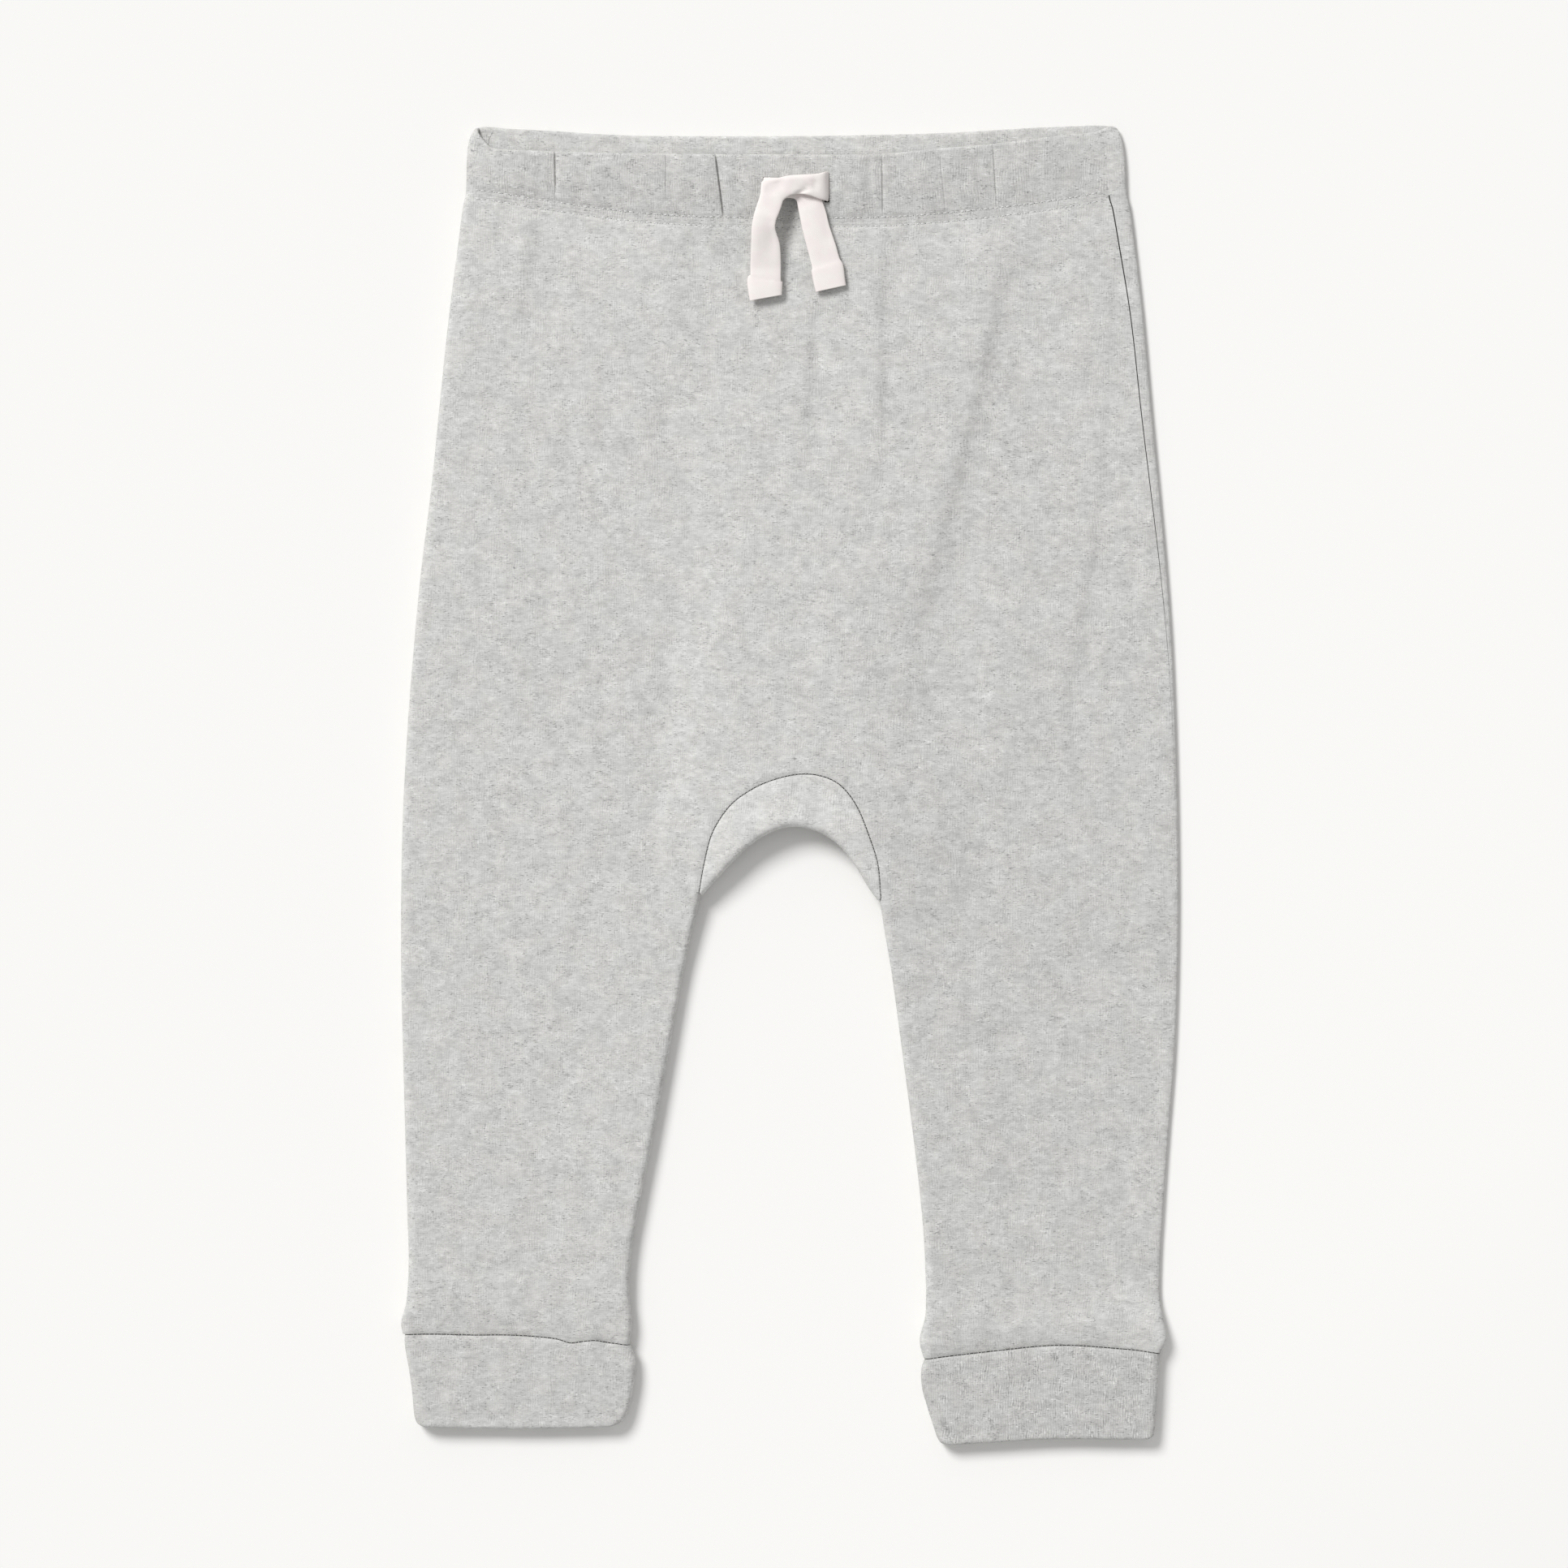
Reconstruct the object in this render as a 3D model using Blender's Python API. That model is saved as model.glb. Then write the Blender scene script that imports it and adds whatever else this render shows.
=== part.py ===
"""Baby harem pants in grey melange jersey, lying flat on their back panel.

The garment is a flattened tube of cloth: a front panel on a back panel, a curved
gusset between the legs, a waist casing turned down over elastic, a folded cuff on
each leg, and a flat drawstring tied in a half knot. Units in the tables are
millimetres: x is measured from the centre front, and down from the waist towards
the hems. Left and right are as seen from above, which is the other way round for
the wearer.
"""
import math

import bmesh
import bpy
from mathutils import Vector

MM = 0.001

# Cloth
JERSEY = 1.4  # wall of one layer of brushed jersey
CASING = 2.3  # wall of the waist casing: two layers with the elastic between
CUFF = 2.4  # wall of a cuff: two layers
SEAM = 0.3  # between two pieces that are sewn together

# How it lies
ROLL = 3.1  # radius of the rolled edges, so the pants lie twice as high
SAG = 0.7  # how far the middle of a panel sinks between its rolled edges
SAG_REACH = 26.0  # how far in from an edge it has sunk
CROTCH_LIFT = 2.3  # the gusset's stiff seams hold the crotch off the floor
CROTCH_LIFT_REACH = 42.0

# Waist
TOP_FOLD = 0.9  # the folded top edge is rounded over this
BUTTONHOLE = {"x": (-10.2, 9.4), "down": 20.5, "wide": 2.9, "tall": 10.4}

# Cuffs
HEM_FOLD = 0.8  # the folded hem is rounded over this

# The outer edges of the body and legs.
SIDES = [
    {"down": 0, "left": -103.0, "right": 102.5},
    {"down": 5, "left": -105.3, "right": 104.3},
    {"down": 12, "left": -106.0, "right": 105.2},
    {"down": 22, "left": -106.3, "right": 105.7},
    {"down": 26, "left": -107.2, "right": 106.7},
    {"down": 38, "left": -108.7, "right": 108.3},
    {"down": 64, "left": -112.0, "right": 111.2},
    {"down": 90, "left": -114.7, "right": 113.5},
    {"down": 116, "left": -117.3, "right": 116.0},
    {"down": 142, "left": -120.5, "right": 118.4},
    {"down": 168, "left": -123.0, "right": 120.2},
    {"down": 194, "left": -125.0, "right": 121.3},
    {"down": 220, "left": -126.4, "right": 122.0},
    {"down": 246, "left": -127.0, "right": 122.3},
    {"down": 272, "left": -127.0, "right": 122.0},
    {"down": 298, "left": -126.4, "right": 121.0},
    {"down": 324, "left": -125.7, "right": 119.0},
    {"down": 350, "left": -125.0, "right": 117.2},
    {"down": 364, "left": -124.6, "right": 116.4},
    {"down": 377, "left": -125.3, "right": 116.3},
    {"down": 384, "left": -127.0, "right": 117.6},
    {"down": 389, "left": -126.2, "right": 118.3},
    {"down": 394, "left": -126.0, "right": 116.2},
]

# The inner edges of the legs, below the gusset.
INSEAM_LEFT = [
    {"down": 247, "x": -31.0},
    {"down": 256, "x": -33.2},
    {"down": 274, "x": -37.0},
    {"down": 301, "x": -41.9},
    {"down": 323, "x": -46.0},
    {"down": 343, "x": -50.0},
    {"down": 361, "x": -53.2},
    {"down": 375, "x": -53.8},
    {"down": 383, "x": -53.0},
    {"down": 392, "x": -54.0},
]
INSEAM_RIGHT = [
    {"down": 248, "x": 26.2},
    {"down": 259, "x": 28.0},
    {"down": 272, "x": 30.2},
    {"down": 298, "x": 33.7},
    {"down": 324, "x": 37.1},
    {"down": 350, "x": 40.0},
    {"down": 366, "x": 41.0},
    {"down": 381, "x": 41.1},
    {"down": 390, "x": 39.2},
    {"down": 397, "x": 41.0},
]

# The gusset from its left tip over the crotch to its right tip: where it is sewn to
# a panel, and the fold that hangs between the legs.
GUSSET = [
    {"seam_x": -31.5, "seam_down": 246.0, "fold_x": -30.5, "fold_down": 247.0},
    {"seam_x": -29.7, "seam_down": 236.0, "fold_x": -26.0, "fold_down": 242.0},
    {"seam_x": -27.0, "seam_down": 226.5, "fold_x": -21.5, "fold_down": 237.2},
    {"seam_x": -21.5, "seam_down": 218.2, "fold_x": -16.0, "fold_down": 231.7},
    {"seam_x": -14.5, "seam_down": 213.0, "fold_x": -10.7, "fold_down": 228.0},
    {"seam_x": -7.0, "seam_down": 209.8, "fold_x": -5.5, "fold_down": 225.7},
    {"seam_x": 1.0, "seam_down": 208.2, "fold_x": 0.0, "fold_down": 225.0},
    {"seam_x": 8.0, "seam_down": 208.9, "fold_x": 5.8, "fold_down": 226.4},
    {"seam_x": 14.0, "seam_down": 212.0, "fold_x": 11.0, "fold_down": 229.2},
    {"seam_x": 19.0, "seam_down": 218.5, "fold_x": 15.5, "fold_down": 233.4},
    {"seam_x": 22.8, "seam_down": 227.7, "fold_x": 19.3, "fold_down": 238.7},
    {"seam_x": 25.7, "seam_down": 237.0, "fold_x": 22.6, "fold_down": 244.3},
    {"seam_x": 26.7, "seam_down": 247.5, "fold_x": 25.9, "fold_down": 248.8},
]
GUSSET_CORNERS = (3, 9)  # the rows where the legs' cloth turns into the body's

# The waist: the casing's stitching and its top fold, on the upper and the under face.
FRONT_SEAM = [
    {"x": -106, "down": 22.4},
    {"x": -98, "down": 23.2},
    {"x": -81, "down": 25.9},
    {"x": -66, "down": 28.1},
    {"x": -48, "down": 30.1},
    {"x": -30, "down": 31.1},
    {"x": -5, "down": 31.5},
    {"x": 25, "down": 31.3},
    {"x": 43, "down": 30.2},
    {"x": 63, "down": 28.1},
    {"x": 82, "down": 25.6},
    {"x": 98, "down": 22.8},
    {"x": 106, "down": 21.4},
]
BACK_SEAM = [
    {"x": -106, "down": 22.4},
    {"x": -60, "down": 23.6},
    {"x": 0, "down": 24.0},
    {"x": 60, "down": 22.8},
    {"x": 106, "down": 21.2},
]
FRONT_TOP = [
    {"x": -106, "down": 2.0},
    {"x": -103.5, "down": 1.2},
    {"x": -101, "down": 4.4},
    {"x": -98, "down": 7.4},
    {"x": -90, "down": 8.2},
    {"x": -77, "down": 8.7},
    {"x": -47, "down": 9.4},
    {"x": -5, "down": 9.7},
    {"x": 26, "down": 9.5},
    {"x": 46, "down": 7.6},
    {"x": 63, "down": 6.0},
    {"x": 83, "down": 3.5},
    {"x": 95, "down": 2.2},
    {"x": 98, "down": 1.2},
    {"x": 101, "down": 0.2},
    {"x": 104, "down": 1.6},
    {"x": 106, "down": 4.0},
]
BACK_TOP = [
    {"x": -106, "down": 2.0},
    {"x": -103, "down": 0.4},
    {"x": -92, "down": 1.0},
    {"x": -77, "down": 1.8},
    {"x": -60, "down": 2.9},
    {"x": -45, "down": 3.3},
    {"x": 5, "down": 3.3},
    {"x": 26, "down": 2.9},
    {"x": 47, "down": 2.3},
    {"x": 66, "down": 1.2},
    {"x": 85, "down": 0.2},
    {"x": 100, "down": 0.0},
    {"x": 104, "down": 1.6},
    {"x": 106, "down": 4.0},
]

# How far in from the fold the side seams lie, as cloth: on the top at the right, and
# underneath at the left, because the pants are turned a little on the floor.
SIDE_SEAM = [
    {"down": 0, "in": 8.0},
    {"down": 30, "in": 7.4},
    {"down": 60, "in": 6.0},
    {"down": 100, "in": 5.1},
    {"down": 140, "in": 4.0},
    {"down": 180, "in": 2.8},
    {"down": 212, "in": 2.1},
    {"down": 250, "in": 1.5},
    {"down": 400, "in": 1.3},
]

# The largest folds of the front: from one end to the other, half width, and rise.
FOLDS = [
    {"x0": 69, "down0": 36, "x1": 48, "down1": 142, "half": 5.5, "rise": -1.5},
    {"x0": 13, "down0": 138, "x1": 38, "down1": 214, "half": 9.0, "rise": -0.8},
    {"x0": 30, "down0": 34, "x1": 29, "down1": 106, "half": 5.0, "rise": -0.7},
    {"x0": -5, "down0": 80, "x1": -5, "down1": 204, "half": 20.0, "rise": 0.8},
    {"x0": 66, "down0": 145, "x1": 64, "down1": 214, "half": 8.0, "rise": 0.6},
    {"x0": 90, "down0": 110, "x1": 92, "down1": 196, "half": 8.0, "rise": -0.6},
    {"x0": -29, "down0": 180, "x1": -35, "down1": 224, "half": 7.0, "rise": 0.6},
    {"x0": -40, "down0": 118, "x1": -50, "down1": 232, "half": 8.0, "rise": -0.5},
    {"x0": -31, "down0": 33, "x1": -30, "down1": 62, "half": 6.0, "rise": -0.8},
    {"x0": -82, "down0": 30, "x1": -88, "down1": 120, "half": 9.0, "rise": -0.5},
]

# Where the elastic draws the casing up into pleats.
PLEATS = [
    {"x": -77.0, "lean": 0.6, "deep": 0.9},
    {"x": -42.0, "lean": 0.0, "deep": 0.5},
    {"x": -24.0, "lean": 2.0, "deep": 1.1},
    {"x": 27.0, "lean": 0.8, "deep": 1.0},
    {"x": 47.0, "lean": 1.5, "deep": 0.5},
    {"x": 64.0, "lean": 1.0, "deep": 0.8},
]
PLEAT_HALF = 3.2
CASING_COLUMNS = (-90, -66, -54, -49, -34, -17, -10, 0, 10, 18, 37, 54, 76, 90)

CUFFS = {
    "cuff_left": {
        "seam": [{"x": -126, "down": 389.5}, {"x": -90, "down": 389.8}, {"x": -52, "down": 391.2}],
        "hem": [{"x": -122, "down": 417.4}, {"x": -88, "down": 417.9}, {"x": -58, "down": 417.2}],
        "sides": [
            {"along": 0.0, "left": -125.8, "right": -53.6},
            {"along": 0.1, "left": -125.9, "right": -52.2},
            {"along": 0.32, "left": -124.8, "right": -51.9},
            {"along": 0.62, "left": -123.5, "right": -53.1},
            {"along": 0.85, "left": -122.9, "right": -54.7},
            {"along": 0.95, "left": -122.0, "right": -56.6},
            {"along": 1.0, "left": -120.2, "right": -58.8},
        ],
    },
    "cuff_right": {
        "seam": [
            {"x": 40, "down": 395.6},
            {"x": 64, "down": 392.9},
            {"x": 84, "down": 391.2},
            {"x": 105, "down": 392.4},
            {"x": 117, "down": 393.8},
        ],
        "hem": [
            {"x": 46, "down": 423.3},
            {"x": 58, "down": 422.5},
            {"x": 82, "down": 421.2},
            {"x": 113, "down": 421.4},
        ],
        "sides": [
            {"along": 0.0, "left": 40.8, "right": 116.2},
            {"along": 0.1, "left": 39.8, "right": 115.9},
            {"along": 0.3, "left": 39.8, "right": 115.6},
            {"along": 0.52, "left": 41.3, "right": 115.3},
            {"along": 0.75, "left": 43.3, "right": 114.9},
            {"along": 0.95, "left": 45.4, "right": 114.2},
            {"along": 1.0, "left": 47.4, "right": 112.8},
        ],
    },
}

# The drawstring's two ends. Each runs inside the casing, comes up out of a buttonhole,
# crosses the other in a half knot and hangs down the front, with its tip folded back
# and sewn. z is the middle of the tape above the floor.
OVER_STRAND = [
    {"x": 18.0, "down": 20.4, "z": 3.1, "wide": 9.2, "thick": 1.0},
    {"x": 10.2, "down": 20.4, "z": 3.1, "wide": 9.2, "thick": 1.0},
    {"x": 9.6, "down": 20.4, "z": 4.6, "wide": 9.4, "thick": 1.4},
    {"x": 9.4, "down": 20.4, "z": 7.0, "wide": 9.6, "thick": 1.4},
    {"x": 7.6, "down": 20.3, "z": 8.9, "wide": 8.8, "thick": 1.5},
    {"x": 3.6, "down": 20.2, "z": 9.8, "wide": 6.8, "thick": 1.7},
    {"x": -1.2, "down": 20.4, "z": 10.1, "wide": 5.9, "thick": 1.9},
    {"x": -5.4, "down": 21.2, "z": 10.1, "wide": 6.2, "thick": 1.9},
    {"x": -8.4, "down": 24.4, "z": 9.9, "wide": 7.0, "thick": 1.8},
    {"x": -9.7, "down": 29.0, "z": 9.6, "wide": 8.0, "thick": 1.6},
    {"x": -10.3, "down": 35.0, "z": 9.1, "wide": 8.6, "thick": 1.5},
    {"x": -10.3, "down": 42.0, "z": 8.5, "wide": 9.4, "thick": 1.5},
    {"x": -10.1, "down": 48.4, "z": 8.1, "wide": 9.8, "thick": 1.5},
    {"x": -10.1, "down": 49.2, "z": 8.1, "wide": 10.8, "thick": 2.4},
    {"x": -10.2, "down": 55.8, "z": 8.1, "wide": 10.6, "thick": 2.4},
]
UNDER_STRAND = [
    {"x": -20.0, "down": 20.6, "z": 3.05, "wide": 9.2, "thick": 0.9},
    {"x": -11.0, "down": 20.6, "z": 3.1, "wide": 9.2, "thick": 1.0},
    {"x": -10.4, "down": 20.6, "z": 4.6, "wide": 9.2, "thick": 1.4},
    {"x": -10.2, "down": 20.6, "z": 6.3, "wide": 9.2, "thick": 1.4},
    {"x": -8.4, "down": 20.6, "z": 7.5, "wide": 8.0, "thick": 1.4},
    {"x": -4.0, "down": 20.8, "z": 7.7, "wide": 6.4, "thick": 1.5},
    {"x": 0.2, "down": 21.6, "z": 7.7, "wide": 5.8, "thick": 1.5},
    {"x": 2.6, "down": 24.6, "z": 7.6, "wide": 6.4, "thick": 1.5},
    {"x": 4.6, "down": 29.0, "z": 7.7, "wide": 8.2, "thick": 1.5},
    {"x": 6.2, "down": 34.4, "z": 7.9, "wide": 8.8, "thick": 1.5},
    {"x": 7.8, "down": 40.0, "z": 7.8, "wide": 9.2, "thick": 1.5},
    {"x": 9.1, "down": 45.2, "z": 7.8, "wide": 9.5, "thick": 1.5},
    {"x": 9.3, "down": 46.0, "z": 7.9, "wide": 10.4, "thick": 2.2},
    {"x": 10.7, "down": 52.8, "z": 7.9, "wide": 10.2, "thick": 2.2},
]

COLOURS = {
    "jersey": {"colour": (0.60, 0.60, 0.59), "roughness": 0.95},
    "gusset_jersey": {"colour": (0.61, 0.61, 0.60), "roughness": 0.95},
    "casing_jersey": {"colour": (0.57, 0.57, 0.56), "roughness": 0.95},
    "cuff_jersey": {"colour": (0.58, 0.58, 0.57), "roughness": 0.95},
    "cotton_tape": {"colour": (0.87, 0.84, 0.80), "roughness": 0.85},
}

QUARTER = ROLL * math.pi / 2  # cloth from a fold's middle to where it lies flat

# The origin is under the middle of the garment.
MID_X = (min(row["left"] for row in SIDES) + max(row["right"] for row in SIDES)) / 2
TOP_DOWN, HEM_DOWN = 0.0, 423.2
MID_DOWN = (TOP_DOWN + HEM_DOWN) / 2


def smooth(rows, given, at, wanted):
    """The wanted column where the given one is at, on a smooth curve through the rows."""
    rows = sorted(rows, key=lambda row: row[given])
    xs, ys = [row[given] for row in rows], [row[wanted] for row in rows]
    if at <= xs[0]:
        return ys[0]
    if at >= xs[-1]:
        return ys[-1]
    i = max(k for k in range(len(xs) - 1) if xs[k] <= at)

    def slope(k):
        a, b = max(k - 1, 0), min(k + 1, len(xs) - 1)
        return (ys[b] - ys[a]) / (xs[b] - xs[a])

    step = xs[i + 1] - xs[i]
    t = (at - xs[i]) / step
    return (
        (2 * t**3 - 3 * t**2 + 1) * ys[i]
        + (t**3 - 2 * t**2 + t) * step * slope(i)
        + (3 * t**2 - 2 * t**3) * ys[i + 1]
        + (t**3 - t**2) * step * slope(i + 1)
    )


def mix(a, b, t):
    return a + (b - a) * t


def place(x, down, z):
    """A point of the garment in the scene, in metres."""
    return Vector((x - MID_X, MID_DOWN - down, z)) * MM


def rolled(cloth):
    """How far in from a fold and how high the cloth is, and how far it faces outwards and
    up, this much cloth past the fold's middle. Negative cloth is on the other face."""
    angle = min(abs(cloth) / ROLL, math.pi / 2)
    inset = ROLL * (1 - math.cos(angle)) + max(abs(cloth) - QUARTER, 0)
    upwards = math.copysign(math.sin(angle), cloth)
    return inset, ROLL + ROLL * upwards, math.cos(angle), upwards


# Plan of the crotch ------------------------------------------------------------------

ON_FOLD = 0.5  # nearer the fold than this, the way out is square to it

FOLD_LINE = (
    [Vector((smooth(INSEAM_LEFT, "down", d, "x"), d)) for d in range(402, 247, -6)]
    + [Vector((row["fold_x"], row["fold_down"])) for row in GUSSET]
    + [Vector((smooth(INSEAM_RIGHT, "down", d, "x"), d)) for d in range(254, 403, 6)]
)


def to_fold(x, down):
    """How far a point is from the crotch's fold or the inseams, and the way out there."""
    here, near = Vector((x, down)), None
    for a, b in zip(FOLD_LINE, FOLD_LINE[1:]):
        along = b - a
        t = min(max((here - a).dot(along) / along.length_squared, 0), 1)
        away = a + along * t - here
        if near is None or away.length < near.length:
            near, out = away, Vector((-along.y, along.x)).normalized()
    return near.length, near.normalized() if near.length > ON_FOLD else out


def lift(x, down):
    """How far the crotch is held off the floor here."""
    from_crotch = math.hypot(x + 1, (down - 226) * 0.8) / CROTCH_LIFT_REACH
    return CROTCH_LIFT * max(0.0, 1 - from_crotch**2) ** 2


def sag(inset):
    """How far the front has sunk towards the back, this far in from its folds."""
    return SAG * min(max((inset - 2 * ROLL) / SAG_REACH, 0), 1)


def folds(x, down):
    """The rise of the front's folds here."""
    here, rise = Vector((x, down)), 0.0
    for fold in FOLDS:
        start = Vector((fold["x0"], fold["down0"]))
        along = Vector((fold["x1"], fold["down1"])) - start
        t = (here - start).dot(along) / along.length_squared
        off = (here - start - along * min(max(t, 0), 1)).length / fold["half"]
        end = min(max(min(t, 1 - t) * 4 + 0.35, 0), 1)
        rise += fold["rise"] * end * math.exp(-(off**2))
    return rise


# Walls of cloth ----------------------------------------------------------------------


def wall(name, skin, thickness, material, ring=0):
    """A wall of cloth. skin maps (row, column) to its outer point and the way it faces;
    the inner skin lies a thickness behind it. ring is the number of columns of a tube."""
    mesh = bmesh.new()
    outer, inner = {}, {}
    for key, (point, facing, pinch) in skin.items():
        outer[key] = mesh.verts.new(point - facing * pinch * MM)
        inner[key] = mesh.verts.new(point - facing * (thickness - pinch) * MM)
    for row, column in skin:
        beside = (column + 1) % ring if ring else column + 1
        corners = [(row, column), (row, beside), (row + 1, beside), (row + 1, column)]
        if all(corner in skin for corner in corners):
            mesh.faces.new([outer[corner] for corner in corners])
            mesh.faces.new([inner[corner] for corner in reversed(corners)])
    key_of = {vert: key for key, vert in outer.items()}
    for edge in [e for e in mesh.edges if e.is_boundary]:
        if all(vert in key_of for vert in edge.verts):
            a, b = edge.link_loops[0].link_loop_next.vert, edge.link_loops[0].vert
            mesh.faces.new([a, b, inner[key_of[b]], inner[key_of[a]]])
    bmesh.ops.recalc_face_normals(mesh, faces=mesh.faces)
    return finish(name, mesh, material)


def finish(name, mesh, material):
    data = bpy.data.meshes.new(name)
    mesh.to_mesh(data)
    mesh.free()
    data.shade_smooth()
    data.set_sharp_from_angle(angle=math.radians(50))
    data.materials.append(material)
    obj = bpy.data.objects.new(name, data)
    garment.objects.link(obj)
    obj.parent = holder
    return obj


def fabric(name):
    """A plain Principled material of the cloth's colour."""
    material = bpy.data.materials.new(name)
    material.use_nodes = True
    shader = material.node_tree.nodes["Principled BSDF"]
    shader.inputs["Base Color"].default_value = (*COLOURS[name]["colour"], 1)
    shader.inputs["Roughness"].default_value = COLOURS[name]["roughness"]
    shader.inputs["Metallic"].default_value = 0.0
    return material


# Panels ------------------------------------------------------------------------------

STRIP = 8  # columns over each leg
INSEAM_COLUMNS = (0, 0.3 * ROLL, 1.05 * ROLL)  # the last of them, round the inseam's fold
BRIDGE = GUSSET_CORNERS[1] - GUSSET_CORNERS[0]  # columns over the crotch
BRIDGE_TOP = 34.0  # half the bridge's width at the waist
BODY_ROWS = 13
ARCH_ROWS = GUSSET_CORNERS[0]  # rows of a leg that are sewn to the gusset
LEG_ROWS = (0.11, 0.23, 0.35, 0.47, 0.59, 0.7, 0.8, 0.87, 0.915, 0.955, 1)
LEG_TOP = 206.0  # where the leg's first row meets the side
LEGS = {
    "left": {"way": -1, "tip": 246.0, "inseam": INSEAM_LEFT, "seam": CUFFS["cuff_left"]["seam"]},
    "right": {"way": 1, "tip": 248.0, "inseam": INSEAM_RIGHT, "seam": CUFFS["cuff_right"]["seam"]},
}
WAIST_SIDE = 106.0  # where a side is near the waist, and near the hem
HEM_SIDE = 120.0


def side_columns(reach):
    """Cloth distances from a side's fold. A positive reach goes round the fold and that
    far on; a negative one stops short of it."""
    if reach > 0:
        return [-reach, -reach * 0.67, -reach * 0.33, 0, QUARTER / 2, QUARTER]
    return [-reach, -reach + QUARTER / 2, -reach + QUARTER]


def seam_row(index):
    """A point of the gusset's seam, moved off the seam to the panel's side, and to the
    gusset's."""
    row, before = GUSSET[index], GUSSET[max(index - 1, 0)]
    after = GUSSET[min(index + 1, len(GUSSET) - 1)]
    along = Vector((after["seam_x"] - before["seam_x"], after["seam_down"] - before["seam_down"]))
    away = Vector((along.y, -along.x)).normalized() * SEAM / 2
    seam = Vector((row["seam_x"], row["seam_down"]))
    return seam + away, seam - away


def casing_seam(x, share):
    """Where the casing is sewn to a panel, share of the way from the under face up."""
    return mix(smooth(BACK_SEAM, "x", x, "down"), smooth(FRONT_SEAM, "x", x, "down"), share)


class Panel:
    """The front or the back: rows of columns from the left fold to the right one."""

    def __init__(self, up, reach_left, reach_right):
        self.up = up  # True for the front
        self.reach = {"left": reach_left, "right": reach_right}
        first = len(side_columns(reach_left)) + STRIP - 1
        self.corner = {"left": first, "right": first + BRIDGE}
        self.skin = {}

    def put(self, row, column, x, down, inset, height, facing):
        """Adds one point, inset from the nearest side, on the front or mirrored to the back."""
        if self.up:
            inset = min(inset, to_fold(x, down)[0])
            flat = min(inset / (2 * ROLL), 1) if facing.z > 0 else 0
            height += (folds(x, down) - sag(inset)) * flat
        else:
            height, facing.z = 2 * ROLL - height, -facing.z
        self.skin[row, column] = (place(x, down, height + lift(x, down)), facing, 0)

    def put_inside(self, row, column, x, down, inset):
        """Adds one point between the sides, which rolls down only at the crotch's fold."""
        distance, way = to_fold(x, down)
        out = max(ROLL - distance, 0) / ROLL
        rise = math.sqrt(1 - out**2)
        height = ROLL + max(ROLL * rise, SEAM / 2)
        self.put(row, column, x, down, inset, height, Vector((way.x * out, -way.y * out, rise)))

    def strip(self, row, which, edge, end, line, leg):
        """The columns between a side's fold and the strip's inner end. edge is the side's
        x, and line gives down from x, how far it is from the side to the inner end, and how
        far it is up from the under face, because the two faces' seams differ."""
        way, corner = LEGS[which]["way"], self.corner[which]
        seam_in = smooth(SIDE_SEAM, "down", line(edge, 0, self.up), "in")
        cloths = side_columns(self.reach[which] * seam_in)
        for step, cloth in enumerate(reversed(cloths)):
            inset, height, outwards, upwards = rolled(cloth)
            share = height / (2 * ROLL) if self.up else 1 - height / (2 * ROLL)
            x = edge - way * inset
            down = line(x, inset / abs(edge - end), share)
            facing = Vector((way * outwards, 0, upwards))
            self.put(row, corner + way * (STRIP + step), x, down, inset, height, facing)
        whole = abs(edge - end)
        length = whole - rolled(cloths[-1])[0]
        for step in range(STRIP):
            off = length * step / STRIP
            if leg:
                last = len(INSEAM_COLUMNS) - 1
                off = mix(INSEAM_COLUMNS[-1], length, (step - last) / (STRIP - last))
                if step < last:
                    off = INSEAM_COLUMNS[step]
            x = end + way * off
            down = line(x, 1 - off / whole, self.up)
            self.put_inside(row, corner + way * step, x, down, whole - off)

    def body_row(self, row, t):
        """A row of the body, t of the way from the casing to the arch."""
        corners = [seam_row(index)[0] for index in GUSSET_CORNERS]

        def line(x, inwards, share):
            bottom = mix(LEG_TOP, corners[x > 0].y, inwards)
            return mix(casing_seam(x, share) + SEAM / 2, bottom, t)

        for which, corner in zip(LEGS, corners):
            way = LEGS[which]["way"]
            edge = smooth(SIDES, "down", line(way * WAIST_SIDE, 0, self.up), which)
            self.strip(row, which, edge, mix(way * BRIDGE_TOP, corner.x, t), line, False)
        for step in range(1, BRIDGE):
            top_x = mix(-BRIDGE_TOP, BRIDGE_TOP, step / BRIDGE)
            top = Vector((top_x, casing_seam(top_x, self.up) + SEAM / 2))
            point = top.lerp(seam_row(GUSSET_CORNERS[0] + step)[0], t)
            self.put_inside(row, self.corner["left"] + step, point.x, point.y, math.inf)

    def arch_row(self, row, which, step):
        """A row of a leg that ends at the gusset's seam."""
        leg = LEGS[which]
        inner = seam_row(GUSSET_CORNERS[which == "right"] + leg["way"] * step)[0]
        edge_down = mix(LEG_TOP, leg["tip"], step / ARCH_ROWS)

        def line(x, inwards, share):
            return mix(edge_down, inner.y, inwards)

        self.strip(row, which, smooth(SIDES, "down", edge_down, which), inner.x, line, True)

    def leg_row(self, row, which, t):
        """A row of a leg that ends at the inseam, t of the way from the crotch to the cuff."""
        leg = LEGS[which]

        def line(x, inwards, share):
            return mix(leg["tip"], smooth(leg["seam"], "x", x, "down") - SEAM / 2, t)

        edge_down = line(leg["way"] * HEM_SIDE, 0, self.up)
        inner = smooth(leg["inseam"], "down", edge_down, "x")
        inner = smooth(leg["inseam"], "down", line(inner, 1, self.up), "x")
        self.strip(row, which, smooth(SIDES, "down", edge_down, which), inner, line, True)


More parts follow.
